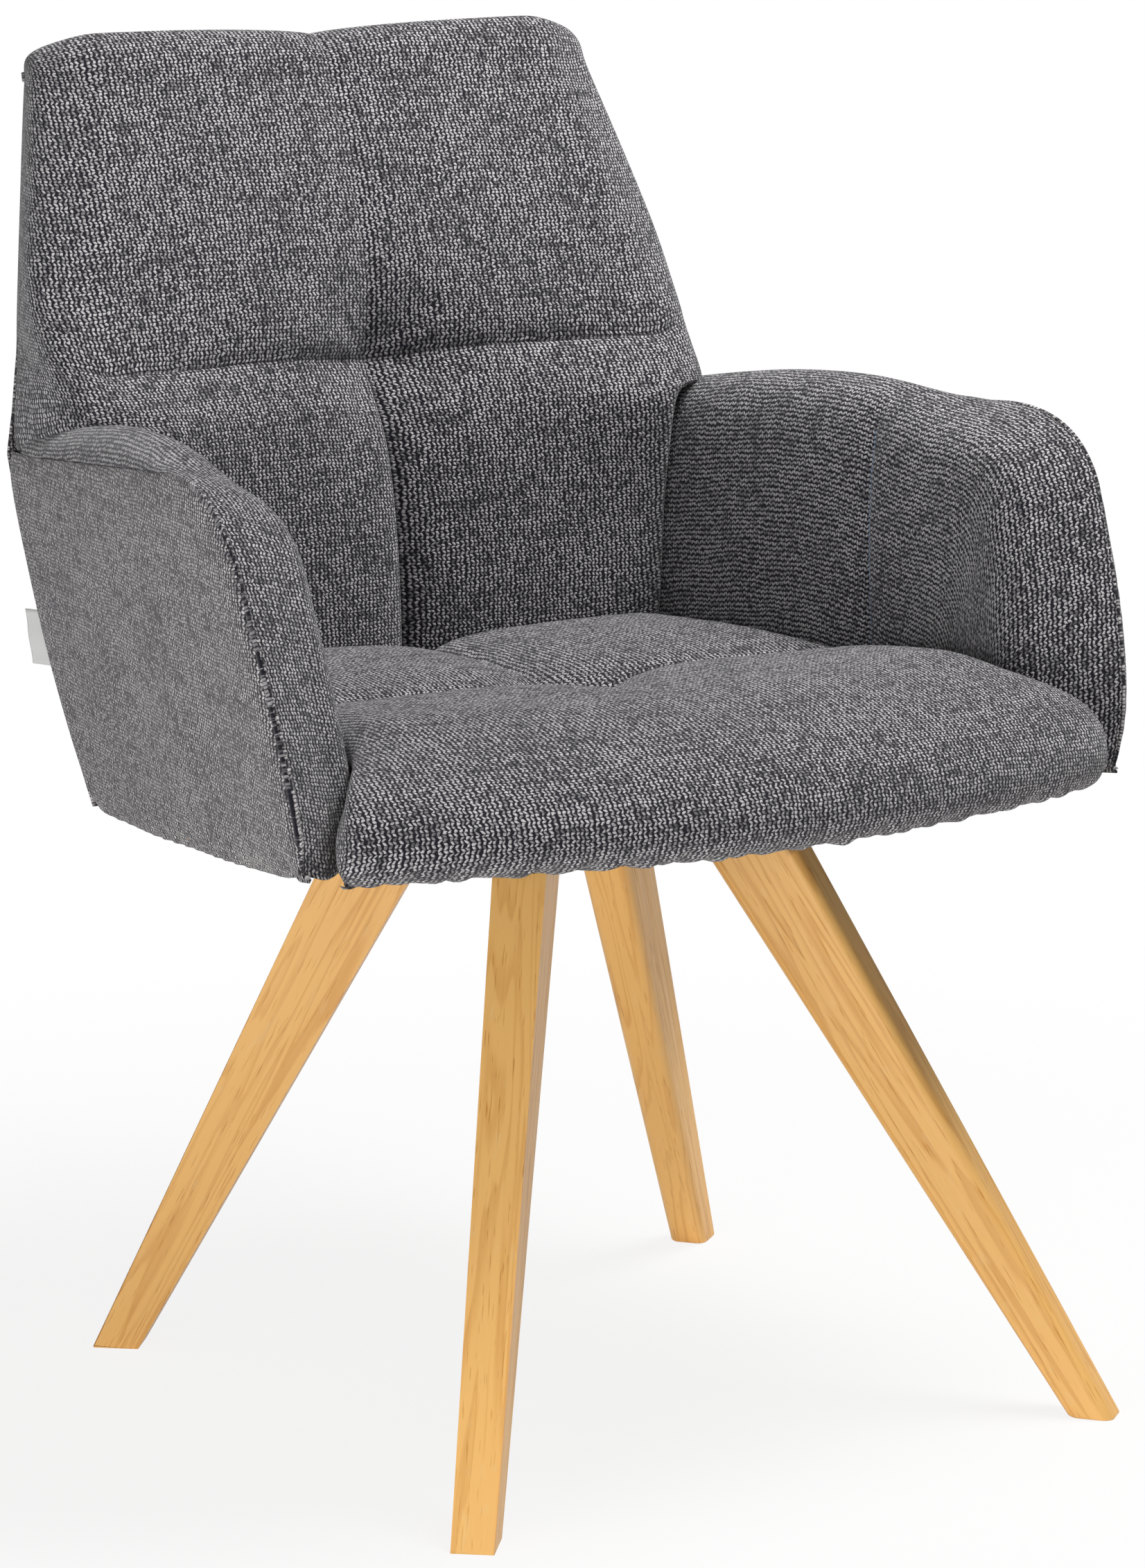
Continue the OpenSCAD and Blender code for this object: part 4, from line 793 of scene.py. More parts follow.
class ArmLine:
    """The outer seam of an arm in its side panel's plane, as places (y, z) at stations from rear to foot"""

    def __init__(self):
        arm = settings().arm
        start_y = back_y(arm.rear_height) - (PANEL_COVER + BOARD + 6 * GAP) / rake_cos()
        self.start = np.array([start_y, arm.rear_height])
        self.nose = np.array([-arm.nose_reach, arm.nose_height])
        self.foot = np.array([-arm.foot_reach, hem_z(-arm.foot_reach) + 0.001])
        self.nose_start = self.nose + unit(self.start - self.nose) * arm.nose_top
        self.nose_end = self.nose + unit(self.foot - self.nose) * arm.nose_front
        self.bow = (self.nose_end + self.foot) / 2 - np.array([arm.front_bow, 0])
        run = self.start[0] - self.nose_start[0]
        self.seam_share = min(max((self.start[0] + arm.seam_place) / run, 0.5), 0.95)

    def place(self, s):
        """Place of a station on the seam"""
        if s <= ARM_TOP:
            if s <= SEAM_STATION:
                t = self.seam_share * s / SEAM_STATION
            else:
                t = lerp(self.seam_share, 1, (s - SEAM_STATION) / (ARM_TOP - SEAM_STATION))
            return lerp(self.start, self.nose_start, t)
        if s <= ARM_TOP + ARM_NOSE:
            return curve(self.nose_start, self.nose, self.nose_end, (s - ARM_TOP) / ARM_NOSE)
        t = (s - ARM_TOP - ARM_NOSE) / ARM_FRONT
        turn = settings().arm.foot_round * t ** 8
        return curve(self.nose_end, self.bow, self.foot, t) + np.array([turn, 0])

    def out(self, s):
        """Direction out of the arm, square to the seam"""
        step = self.place(min(s + 0.5, ARM_ROWS)) - self.place(max(s - 0.5, 0))
        return unit(np.array([step[1], -step[0]]))

    def rise(self, s):
        """How far the band's inner edge lies over its outer edge"""
        arm = settings().arm
        if s < ARM_TOP:
            return -arm.nose_drop * (s / ARM_TOP) ** 3
        return lerp(-arm.nose_drop, -arm.foot_set_back, ease((s - ARM_TOP - 3) / (ARM_FRONT + 1)))

    def bulge(self, s):
        """Height of the band's crest over its edges"""
        swell = 0.007 * math.sin(math.pi * min(max((s - 2) / 10, 0), 1))
        return lerp(settings().arm.crest, 0.0025, ease((s - 8) / 6)) + swell

    def low(self, s):
        """Lower end of a station's line on the inner panel"""
        panel_z = pad_foot_z()
        nose_start_y = self.nose_start[0] + 0.001
        nose_end_y = self.nose_end[0] + 0.065
        if s <= ARM_TOP:
            t = (self.start[0] - self.place(s)[0]) / (self.start[0] - self.nose_start[0])
            return np.array([lerp(board_face_y(panel_z) - 4 * GAP, nose_start_y, t), panel_z])
        if s <= ARM_TOP + ARM_NOSE:
            return np.array([lerp(nose_start_y, nose_end_y, (s - ARM_TOP) / ARM_NOSE), panel_z])
        t = (s - ARM_TOP - ARM_NOSE) / ARM_FRONT
        low_z = lerp(panel_z, self.foot[1], ease((t - 0.45) / 0.45))
        return np.array([lerp(nose_end_y, self.foot[0] + 0.052, t), low_z])


def arm_point(line, s, k):
    """Control point of the left arm's pad"""
    thickness = settings().shell.arm_thickness
    place = line.place(s)
    out = line.out(s)
    rise = line.rise(s)
    flat_w = thickness - TURN_RADIUS
    drop = TURN_RADIUS + 0.002

    # The foot's inner part reaches forwards and down to the seat's corner
    foot = ease((s - ARM_ROWS + 4) / 4) * np.array([0.006, 0.011])

    def clear_of_back(p):
        """The place, kept ahead of the back board"""
        return np.array([min(p[0], board_face_y(p[1]) - 5 * GAP), p[1]])

    if k <= BAND_COLS:
        d = flat_w * k / BAND_COLS
        p = place + out * (rise * d / flat_w + line.bulge(s) * math.sin(math.pi * d / thickness) + GAP)
        p = p - foot * ease(d / 0.024)
        return side_x(p[0], p[1]) - d, p[0], p[1]
    if k <= BAND_COLS + TURN_COLS:
        a = math.pi / 2 * (k - BAND_COLS) / TURN_COLS
        d = flat_w + TURN_RADIUS * math.sin(a)
        bulge = line.bulge(s) * math.sin(math.pi * flat_w / thickness) * math.cos(a)
        p = clear_of_back(place + out * (rise + bulge - drop * (1 - math.cos(a)) + GAP)) - foot
        return side_x(p[0], p[1]) - d, p[0], p[1]
    t = (k - BAND_COLS - TURN_COLS) / PANEL_COLS
    top = place + out * (rise - drop + GAP)
    p = clear_of_back(lerp(top, line.low(s), t)) - foot * (1 - t)
    crown = 0.003 * math.sin(math.pi * min(t * 1.5, 1)) * min(max(1 - s / (ARM_ROWS - 3), 0), 1)
    crown *= ease((settings().back.low_place - 0.030 - p[0]) / 0.060)
    return side_x(p[0], p[1]) - thickness - crown, p[0], p[1]


def arm_seam_y(z):
    """Place of the upright inner seam at a height, which leans forwards towards its foot"""
    top_y = -settings().arm.seam_place
    return lerp(top_y, top_y - SEAM_LEAN, np.clip((SEAM_TOP_Z - z) / SEAM_FALL, 0, 1))


def arm_surface():
    """Fine points of the left arm's pad, the lengths along its cloth and its seam distances"""
    steps = settings().stage.cloth_rows - 1
    line = ArmLine()
    control = [[arm_point(line, s, k) for k in range(ARM_COLS + 1)] for s in range(ARM_ROWS + 1)]
    points = smooth_grid(control, steps)
    uv = cloth_uv(points, BAND_COLS * steps, SEAM_STATION * steps)
    rows = np.arange(points.shape[0])[:, None] / steps
    cols = np.arange(points.shape[1])[None, :] / steps
    inner = ease((cols - BAND_COLS - 0.6) / 1.4)
    # The upright inner seam, a tight stitched valley
    gap_rows = np.abs(points[..., 1] - arm_seam_y(points[..., 2]))
    seam = (0.0030 * fade(gap_rows, 0.014) + 0.0012 * fade(gap_rows, 0.003)) * inner
    # The band's edge turns in at the outer seam, a little unevenly
    edge = cols * (settings().shell.arm_thickness - TURN_RADIUS) / BAND_COLS
    ruffle = ripple(uv[..., 1], 41, 4, 260.0, 700.0)
    tucked = hump(edge, 0.0040)
    roll_in = (0.0012 + 0.0001 * ruffle) * tucked
    # Small drags in the cloth over the nose and along the band
    soft = ripple(uv[..., 0] + 0.4 * uv[..., 1], 42, 4, 20.0, 60.0) * ripple(uv[..., 1], 43, 4, 18.0, 60.0)
    nose = hump(rows - ARM_TOP - 3, 3.5)
    drag = np.sin(uv[..., 1] * 210.0 + 18.0 * uv[..., 0]) * hump(edge, 0.016) * nose
    depth = seam + roll_in - 0.0009 * soft - 0.0005 * drag
    points = points - grid_normals(points) * depth[..., None]
    points[..., 0] -= (0.0018 + 0.0001 * ruffle) * tucked
    upright = points[..., 1] - arm_seam_y(points[..., 2]) + NOT_SEWN * (1 - inner)
    seams = np.stack([upright, np.broadcast_to(edge + 0.0006, upright.shape)], axis=2)
    return points, uv, seams


def arm_stitches(points):
    """Places and directions of the stitches down the left arm's upright inner seam"""
    steps = settings().stage.cloth_rows - 1
    line = []
    for column in np.moveaxis(points[:, (BAND_COLS + TURN_COLS) * steps - 6:-steps], 1, 0):
        ahead = column[:, 1] - arm_seam_y(column[:, 2])
        row = int(np.argmax(ahead < 0))
        crossing = ahead[row - 1] / (ahead[row - 1] - ahead[row])
        line.append(lerp(column[row - 1], column[row], crossing))
    line = np.array(line)
    gaps = np.linalg.norm(np.diff(line, axis=0), axis=1)
    reach = np.concatenate([[0], np.cumsum(gaps)])
    marks = np.arange(0.002, reach[-1], STITCH_PITCH)
    places = np.stack([np.interp(marks, reach, line[:, axis]) for axis in range(3)], axis=1)
    ways = np.gradient(places, axis=0)
    return places, ways / np.linalg.norm(ways, axis=1, keepdims=True)


# Side panels, between the arm's outer seam and the hem

PANEL_ROWS = 102


def side_panel_surface():
    """Fine points of the left side panel: rows from its seam down to its hem, columns from rear to foot"""
    steps = 6
    line = ArmLine()
    shell = settings().shell
    inset = COVER * 0.4
    columns = ARM_ROWS * steps + 1
    points = np.zeros((PANEL_ROWS + 1, columns, 3))
    rear_top = stretched_back_y(line.start[1]) - 0.0005
    foot_y = line.foot[0] + 0.006
    for c in range(columns):
        s = c / steps
        top = line.place(s) - line.out(s) * inset
        if s < 1:
            top[0] = lerp(rear_top, line.place(1)[0], s)
        share_y = c / (columns - 1)
        if s <= ARM_TOP:
            low_y = lerp(stretched_back_y(shell.hem_rear), -0.120, s / ARM_TOP)
        else:
            low_y = lerp(-0.120, foot_y, (s - ARM_TOP) / (ARM_NOSE + ARM_FRONT))
        low = np.array([low_y, hem_z(low_y)])
        for r in range(len(points)):
            t = r / (len(points) - 1)
            p = lerp(top, low, t)
            if share_y < 0.04:
                rear = stretched_back_y(p[1]) - 0.0005
                p = np.array([lerp(rear, p[0], share_y / 0.04), p[1]])
            points[r, c] = side_x(p[0], p[1]), p[0], p[1]
    y, z = points[..., 1], points[..., 2]
    origin = side_x(0.0, 0.0)
    uv = np.stack([y * 1.011, z * 1.008 + (points[..., 0] - origin) * 0.05], axis=2)
    # Distances from the panel's edges
    from_top = np.linalg.norm(points - points[:1], axis=2)
    from_low = np.linalg.norm(points - points[-1:], axis=2)
    from_rear = np.abs(stretched_back_y(z) - y)
    ruffle = ripple(points[0:1, :, 1] + points[0:1, :, 2], 51, 4, 300.0, 800.0)
    puff = 0.0045 * (1 - fade(from_top, 0.012)) * (1 - fade(from_low, 0.030))
    roll_in = (0.0010 + 0.0001 * ruffle) * hump(from_top, 0.004) + 0.002 * hump(from_low, 0.006)
    roll_in = roll_in + 0.0030 * hump(from_rear, 0.005)
    hem = 0.0009 * ripple(y, 52, 5, 90.0, 320.0) * fade(from_low, 0.018)
    soft = 0.0010 * ripple(y * 1.2 + 0.3 * z, 53, 4, 14.0, 44.0) * ripple(z, 54, 4, 12.0, 30.0)
    rise = puff - roll_in + hem + soft * (1 - fade(from_top, 0.03))
    out = unit(np.array([1.0, shell.toe, -shell.lean]))
    points = points + out * (rise - 0.0012)[..., None]
    # The hem turns in under the board
    station = np.arange(columns)[None, :, None] / steps
    full = (1 - ease((station - ARM_ROWS + 6) / 4)) * ease(station / 1.5)
    turned = [points[-1:] + full * np.array(move) for move in ((-0.0020, 0, -0.0026), (-0.0140, 0, -0.0022))]
    lengths = [uv[-1:] + np.array([0, -0.0033]), uv[-1:] + np.array([0, -0.0153])]
    return np.concatenate([points, *turned]), np.concatenate([uv, *lengths])


def stretched_back_y(z):
    """The outside back's plane with the cloth's own slight bow below the arms"""
    t = np.clip((z - 0.340) / 0.330, 0.0, 1.0)
    return back_y(z) + 0.011 * 4 * t * (1 - t)


def outside_back_surface():
    """Fine points of the outside back: rows up from the hem, columns across"""
    rows, cols = 120, 96
    arm = settings().arm
    top_z = back_face_z() + 0.001
    low_z = settings().shell.hem_rear + 0.001
    inset = 0.0008
    shoulder_z = 0.642
    corner = 0.016
    points = np.zeros((rows + 1, cols + 1, 3))
    for r in range(rows + 1):
        z = lerp(low_z, top_z, r / rows)
        if z < arm.rear_height:
            w = side_x(back_y(z), z)
        else:
            rim = back_upper_w(max(z, shoulder_z)) - back_taper(max(z, shoulder_z))
            low_w = side_x(back_y(arm.rear_height), arm.rear_height)
            w = lerp(low_w, rim, min((z - arm.rear_height) / (shoulder_z - arm.rear_height), 1)) - inset
        drop = max(z - (top_z - corner), 0) / corner
        w -= corner * (1 - math.sqrt(max(1 - drop * drop, 0)))
        for c in range(cols + 1):
            points[r, c] = lerp(w, -w, c / cols), stretched_back_y(z), z
    x, y, z = points[..., 0], points[..., 1], points[..., 2]
    uv = np.stack([x, z * 1.05], axis=2)
    edge = np.minimum(np.abs(x - x[:, :1]), np.abs(x - x[:, -1:]))
    from_top = top_z - z
    from_low = z - low_z
    puff = 0.004 * (1 - fade(edge, 0.016)) * (1 - fade(from_top, 0.016)) * (1 - fade(from_low, 0.03))
    soft = 0.0012 * ripple(x + 0.3 * z, 61, 4, 12.0, 34.0) * ripple(z, 62, 4, 10.0, 30.0)
    turn = 0.002 * hump(edge, 0.005) + 0.002 * hump(from_top, 0.005)
    out = unit(np.array([0.0, 1.0, -settings().shell.back_rake]))
    return points + out * (puff + soft - turn - 0.0012)[..., None], uv


# Material nodes

class Nodes:
    """Makes a material's nodes and joins them"""

    def __init__(self, name):
        self.material = bpy.data.materials.new(name)
        self.material.use_nodes = True
        self.tree = self.material.node_tree
        self.shader = self.tree.nodes["Principled BSDF"]
        self.column = 0

    def add(self, kind, **values):
        node = self.tree.nodes.new(kind)
        self.column += 1
        node.location = (-220 * (self.column % 9) - 300, -260 * (self.column // 9))
        for key, value in values.items():
            setattr(node, key, value)
        return node

    def join(self, source, target):
        self.tree.links.new(source, target)

    def put(self, socket, value):
        """Sets a socket to a number or joins it to another socket"""
        if hasattr(value, "links"):
            self.join(value, socket)
        else:
            socket.default_value = value

    def math(self, operation, a, b=0.0, c=0.0):
        node = self.add("ShaderNodeMath", operation=operation)
        for socket, value in zip(node.inputs, (a, b, c)):
            self.put(socket, value)
        return node.outputs[0]

    def swing(self, value, amount):
        """A value from 0 to 1 as a swing round nought, of an amount"""
        return self.math("MULTIPLY", self.math("SUBTRACT", value, 0.5), amount)

    def from_middle(self, value):
        """How far a value lies from 0.5, on either side"""
        return self.math("ABSOLUTE", self.math("SUBTRACT", value, 0.5))

    def mix(self, fraction, a, b, blend="MIX"):
        node = self.add("ShaderNodeMix", data_type="RGBA", blend_type=blend)
        self.put(node.inputs[0], fraction)
        for socket, value in ((node.inputs[6], a), (node.inputs[7], b)):
            if isinstance(value, (tuple, list)) and len(value) == 3:
                value = (*value, 1.0)
            self.put(socket, value)
        return node.outputs[2]

    def noise(self, place, scale, detail=2.0, rough=0.5, warp=0.0):
        node = self.add("ShaderNodeTexNoise")
        self.join(place, node.inputs["Vector"])
        node.inputs["Scale"].default_value = scale
        node.inputs["Detail"].default_value = detail
        node.inputs["Roughness"].default_value = rough
        node.inputs["Distortion"].default_value = warp
        return node.outputs[0]

    def chance(self, a, b):
        """A random number for each pair of whole numbers"""
        pair = self.add("ShaderNodeCombineXYZ")
        self.put(pair.inputs[0], a)
        self.put(pair.inputs[1], b)
        node = self.add("ShaderNodeTexWhiteNoise", noise_dimensions="2D")
        self.join(pair.outputs[0], node.inputs["Vector"])
        return node.outputs[0]

    def span(self, value, low, high, out_low=0.0, out_high=1.0):
        node = self.add("ShaderNodeMapRange", interpolation_type="SMOOTHSTEP")
        self.put(node.inputs[0], value)
        for socket, number in zip(node.inputs[1:5], (low, high, out_low, out_high)):
            socket.default_value = number
        return node.outputs[0]

    def bump(self, height, distance, strength=1.0):
        node = self.add("ShaderNodeBump")
        node.inputs["Strength"].default_value = strength
        node.inputs["Distance"].default_value = distance
        self.join(height, node.inputs["Height"])
        self.join(node.outputs[0], self.shader.inputs["Normal"])

    def scaled(self, place, factors, turn=(0.0, 0.0, 0.0), shift=(0.0, 0.0, 0.0)):
        node = self.add("ShaderNodeMapping")
        self.join(place, node.inputs["Vector"])
        node.inputs["Location"].default_value = shift
        node.inputs["Rotation"].default_value = turn
        node.inputs["Scale"].default_value = factors
        return node.outputs[0]


def woven_cloth(name, warmth=0.0, lift=0.0):
    """Two-tone cloth: pale yarn zigzags up it over a dark ground, and each stitch shows by chance"""
    look = settings().cloth
    n = Nodes(name)
    uv = n.add("ShaderNodeUVMap", uv_map="Cloth").outputs[0]
    parts = n.add("ShaderNodeSeparateXYZ")
    n.join(uv, parts.inputs[0])
    # The cloth's rows wander a little, and each stitch sits a little off its place
    sway = n.swing(n.noise(uv, 28.0, 2.0), 0.006)
    wobble = n.swing(n.noise(uv, 420.0, 2.0), 0.0020)
    u = n.math("ADD", parts.outputs[0], n.math("ADD", sway, wobble))
    v = n.math("ADD", parts.outputs[1], n.math("SUBTRACT", sway, wobble))
    v_count = n.math("DIVIDE", v, look.row_pitch)
    row = n.math("FLOOR", v_count)
    rise = n.math("FRACT", n.math("MULTIPLY", v_count, 0.5))
    zigzag = n.math("MULTIPLY", n.from_middle(rise), look.zigzag)
    u_count = n.math("ADD", n.math("DIVIDE", u, look.pitch), zigzag)
    col = n.math("FLOOR", u_count)
    luck = n.chance(col, row)
    other = n.chance(row, n.math("ADD", col, 0.5))
    off = n.from_middle(n.math("ADD", n.math("FRACT", u_count), n.swing(other, 0.30)))
    along = n.from_middle(n.math("FRACT", v_count))
    # The yarn's round back over the gap, pinched between two stitches
    yarn = n.math("SUBTRACT", 1.0, n.math("MULTIPLY", n.math("POWER", off, 2.0), 7.0))
    pinch = n.math("SUBTRACT", 1.0, n.math("MULTIPLY", n.math("POWER", along, 3.0), 7.5))
    loop = n.math("MAXIMUM", n.math("MULTIPLY", yarn, pinch), 0.0)
    fibre = n.noise(n.scaled(uv, (1.0, 1.6, 1.0)), 2300.0, 2.0, 0.6)
    cloudy = n.noise(uv, 16.0, 3.0, 0.6)
    patchy = n.noise(uv, 85.0, 2.0, 0.6)
    rows = n.noise(n.scaled(uv, (9.0, 330.0, 1.0)), 1.0, 2.0)
    cover = n.math("ADD", n.math("MULTIPLY", luck, 0.42), n.swing(patchy, 0.6))
    cover = n.math("ADD", cover, n.swing(cloudy, 0.4))
    cover = n.math("ADD", cover, n.swing(rows, 0.45))
    strength = n.span(cover, -0.14, 0.42, 0.16, 1.08)
    pale = n.math("MULTIPLY", n.span(loop, 0.22, 0.76), strength)
    pale = n.math("MULTIPLY", pale, n.span(fibre, 0.25, 0.65, 0.70, 1.08))
    pale = n.math("ADD", n.math("MULTIPLY", pale, 1.0 - lift), lift * 0.8)
    # The sewn lines: the cloth's colour is darkened along them, partly for the yarn drawn in there and partly
    # as painted shade of the narrow seam groove
    parts = n.add("ShaderNodeSeparateXYZ")
    n.join(n.add("ShaderNodeUVMap", uv_map="Seams").outputs[0], parts.inputs[0])
    seams = [n.span(n.math("ABSOLUTE", gap), 0.0002, 0.0015, 1.0, 0.0) for gap in parts.outputs[:2]]
    seam = n.math("MAXIMUM", seams[0], seams[1])
    pale = n.math("MULTIPLY", pale, n.math("SUBTRACT", 1.0, n.math("MULTIPLY", seam, 0.6)))
    light = tuple(c * k for c, k in zip(look.light, (1.0 + warmth, 1.0, 1.0 - warmth)))
    n.join(n.mix(pale, tuple(look.dark), light), n.shader.inputs["Base Color"])
    n.shader.inputs["Roughness"].default_value = 0.92
    n.shader.inputs["Specular IOR Level"].default_value = 0.12
    n.shader.inputs["Sheen Weight"].default_value = 0.34
    n.shader.inputs["Sheen Roughness"].default_value = 0.45
    height = n.math("ADD", loop, n.math("MULTIPLY", fibre, 0.35))
    n.bump(n.math("SUBTRACT", height, n.math("MULTIPLY", seam, 1.2)), look.relief)
    return n.material


def quilt_cloth():
    """The cloth of all pads"""
    return bpy.data.materials.get("quilt_cloth") or woven_cloth("quilt_cloth")


def panel_cloth():
    """The cloth of the panels, stretched flat, so that it looks a little warmer and more even"""
    return bpy.data.materials.get("panel_cloth") or woven_cloth("panel_cloth", 0.02, 0.03)


def stitch_thread():
    """The bluish sewing thread of the arms' upright seams"""
    return bpy.data.materials.get("stitch_thread") or plain_finish("stitch_thread")


def oak_wood(name, turn, seed, knots):
    """Oiled oak, its grain along the leg: growth lines, pores, mild colour changes and a few small knots"""
    look = settings().oak
    n = Nodes(name)
    place = n.add("ShaderNodeTexCoord").outputs["Object"]
    lined = n.scaled(place, (1.0, 1.0, 1.0), turn, (seed * 0.37, seed * 0.21, seed * 0.11))
    long_way = n.scaled(lined, (1.0, 1.0, 0.055))
    waves = n.noise(long_way, 42.0, 2.0, 0.5, 0.3)
    bands = n.math("FRACT", n.math("MULTIPLY", waves, 9.0))
    grain = n.span(bands, 0.0, 0.55)
    grain = n.math("MULTIPLY", grain, n.span(bands, 1.0, 0.86))
    streaks = n.noise(n.scaled(lined, (1.0, 1.0, 0.02)), 420.0, 3.0, 0.6)
    pores = n.span(n.noise(n.scaled(lined, (1.0, 1.0, 0.045)), 900.0, 1.0), 0.63, 0.74)
    tone = n.noise(n.scaled(lined, (1.0, 1.0, 0.3)), 9.0, 2.0)
    fleck = n.span(n.noise(n.scaled(lined, (1.0, 1.0, 0.35)), 160.0, 1.0), 0.66, 0.72)
    lines = n.math("MULTIPLY", n.math("SUBTRACT", 1.0, grain), 0.36)
    deep = n.math("ADD", lines, n.math("MULTIPLY", streaks, 0.40))
    deep = n.math("ADD", deep, n.swing(tone, 0.6))
    deep = n.math("ADD", deep, n.math("MULTIPLY", pores, 0.45))
    wood = n.mix(n.span(deep, 0.16, 1.05), tuple(look.pale), tuple(look.deep))
    wood = n.mix(n.math("MULTIPLY", fleck, 0.16), wood, (0.95, 0.66, 0.31))
    # Small dark knots, each at its place on the leg
    for spot, size in knots:
        shifted = n.scaled(place, (1 / size, 1 / size, 0.6 / size), (0.0, 0.0, 0.0),
                           (-spot[0] / size, -spot[1] / size, -0.6 * spot[2] / size))
        far = n.add("ShaderNodeVectorMath", operation="LENGTH")
        n.join(shifted, far.inputs[0])
        ring = n.math("ADD", far.outputs[1], n.swing(streaks, 0.8))
        wood = n.mix(n.span(ring, 0.4, 1.3, 0.85, 0.0), wood, (0.16, 0.06, 0.02))
    n.join(wood, n.shader.inputs["Base Color"])
    n.join(n.span(streaks, 0.3, 0.8, look.gloss - 0.06, look.gloss + 0.12), n.shader.inputs["Roughness"])
    n.shader.inputs["Specular IOR Level"].default_value = 0.42
    relief = n.math("SUBTRACT", n.math("MULTIPLY", streaks, 0.35), n.math("MULTIPLY", pores, 0.8))
    n.bump(relief, 0.00012)
    return n.material


# Plain finishes: base colour, roughness, metal, grain scale and its stretch, variation, relief

PLAIN_FINISHES = {
    "plywood": ((0.55, 0.37, 0.19), 0.6, 0.0, 60.0, (1.0, 1.0, 14.0), 0.22, 0.0003),
    "zinc_steel": ((0.62, 0.62, 0.64), 0.34, 1.0, 300.0, (1.0, 1.0, 4.0), 0.08, 0.00005),
    "black_steel": ((0.022, 0.022, 0.023), 0.45, 0.0, 700.0, (1.0, 1.0, 1.0), 0.2, 0.0001),
    "brass": ((0.56, 0.36, 0.10), 0.32, 1.0, 300.0, (1.0, 1.0, 4.0), 0.10, 0.00005),
    "waxed_cord": ((0.78, 0.76, 0.70), 0.7, 0.0, 1200.0, (1.0, 1.0, 3.0), 0.12, 0.0003),
    "black_plastic": ((0.02, 0.02, 0.02), 0.4, 0.0, 500.0, (1.0, 1.0, 1.0), 0.15, 0.00005),
    "black_nonwoven": ((0.018, 0.018, 0.019), 0.85, 0.0, 900.0, (1.0, 1.0, 1.0), 0.3, 0.0002),
    "stitch_thread": ((0.34, 0.45, 0.62), 0.6, 0.0, 2500.0, (1.0, 1.0, 0.4), 0.35, 0.00008),
}

# The carried-over pieces that have each finish

FRAME_FINISHES = {
    "plywood": ("seat_board", "back_board", "left_side_board", "right_side_board", "corner_blocks"),
    "zinc_steel": ("frame_screws", "hem_staples", "base_bolts", "base_washers", "tee_nuts", "leg_bolts",
                   "leg_washers"),
    "black_steel": ("base_plate",),
    "brass": ("leg_inserts",),
    "waxed_cord": ("tuft_ties",),
    "black_plastic": ("tuft_anchors",),
}


def plain_finish(name):
    """A finish from the table: one base colour with a fine grain of its own"""
    base, rough, metal, grain_scale, grain_stretch, variation, relief = PLAIN_FINISHES[name]
    n = Nodes(name)
    place = n.add("ShaderNodeTexCoord").outputs["Object"]
    fine = n.noise(n.scaled(place, grain_stretch), grain_scale, 3.0, 0.6)
    broad = n.noise(place, 14.0, 2.0)
    dark = tuple(c * (1 - variation) for c in base)
    pale = tuple(min(c * (1 + variation), 1.0) for c in base)
    n.join(n.mix(n.math("ADD", n.math("MULTIPLY", fine, 0.7), n.math("MULTIPLY", broad, 0.3)), dark, pale),
           n.shader.inputs["Base Color"])
    n.join(n.span(fine, 0.2, 0.8, rough - 0.08, rough + 0.08), n.shader.inputs["Roughness"])
    n.shader.inputs["Metallic"].default_value = metal
    n.bump(fine, relief)
    return n.material


def paint(piece, material):
    piece.data.materials.clear()
    piece.data.materials.append(material)


# Operators, one for each piece or group of like pieces

class MakeSeatPad(Operator):
    """Makes the quilted seat pad with its waterfall front and gathered hem"""
    bl_idname = "armchair.seat_pad"
    bl_label = "Seat Pad"

    def execute(self, context):
        bm = cloth_bmesh(*seat_surface())
        piece = mesh_piece("seat_pad", bm, ["seat_cover", "seat_foam"], COVER)
        paint(piece, quilt_cloth())
        return {"FINISHED"}


class MakeBackPad(Operator):
    """Makes the quilted inside back with its deep pulled-in centre"""
    bl_idname = "armchair.back_pad"
    bl_label = "Back Pad"

    def execute(self, context):
        bm = cloth_bmesh(*back_surface())
        piece = mesh_piece("back_pad", bm, ["back_cover", "back_foam"], COVER)
        paint(piece, quilt_cloth())
        return {"FINISHED"}


class MakeArmPads(Operator):
    """Makes the two arm pads: a rounded band and an inner panel with one upright seam"""
    bl_idname = "armchair.arm_pads"
    bl_label = "Arm Pads"

    def execute(self, context):
        points, uv, seams = arm_surface()
        for side in ("left", "right"):
            bm = sided(cloth_bmesh(points, uv, seams), side)
            nodes = [f"{side}_arm_cover", f"{side}_arm_foam"]
            piece = mesh_piece(f"{side}_arm_pad", bm, nodes, COVER)
            paint(piece, quilt_cloth())
            bm = bmesh.new()
            for place, way in zip(*arm_stitches(points)):
                turn = Vector(way).to_track_quat("Z", "Y").to_matrix().to_4x4()
                size = Matrix.Diagonal((0.0006, 0.0006, 0.00125, 1.0))
                spot = Matrix.Translation(Vector(place) - Vector((0.0002, 0, 0)))
                bmesh.ops.create_icosphere(bm, subdivisions=1, radius=1.0, matrix=spot @ turn @ size)
            piece = mesh_piece(f"{side}_arm_stitches", sided(bm, side), [])
            paint(piece, stitch_thread())
        return {"FINISHED"}


class MakeSidePanels(Operator):
    """Makes the two stretched side panels with their seam along the arm"""
    bl_idname = "armchair.side_panels"
    bl_label = "Side Panels"

    def execute(self, context):
        points, uv = side_panel_surface()
        for side in ("left", "right"):
            bm = sided(cloth_bmesh(points, uv), side)
            nodes = [f"{side}_side_cover"]
            piece = mesh_piece(f"{side}_side_panel", bm, nodes, PANEL_COVER * 0.7)
            paint(piece, panel_cloth())
        return {"FINISHED"}


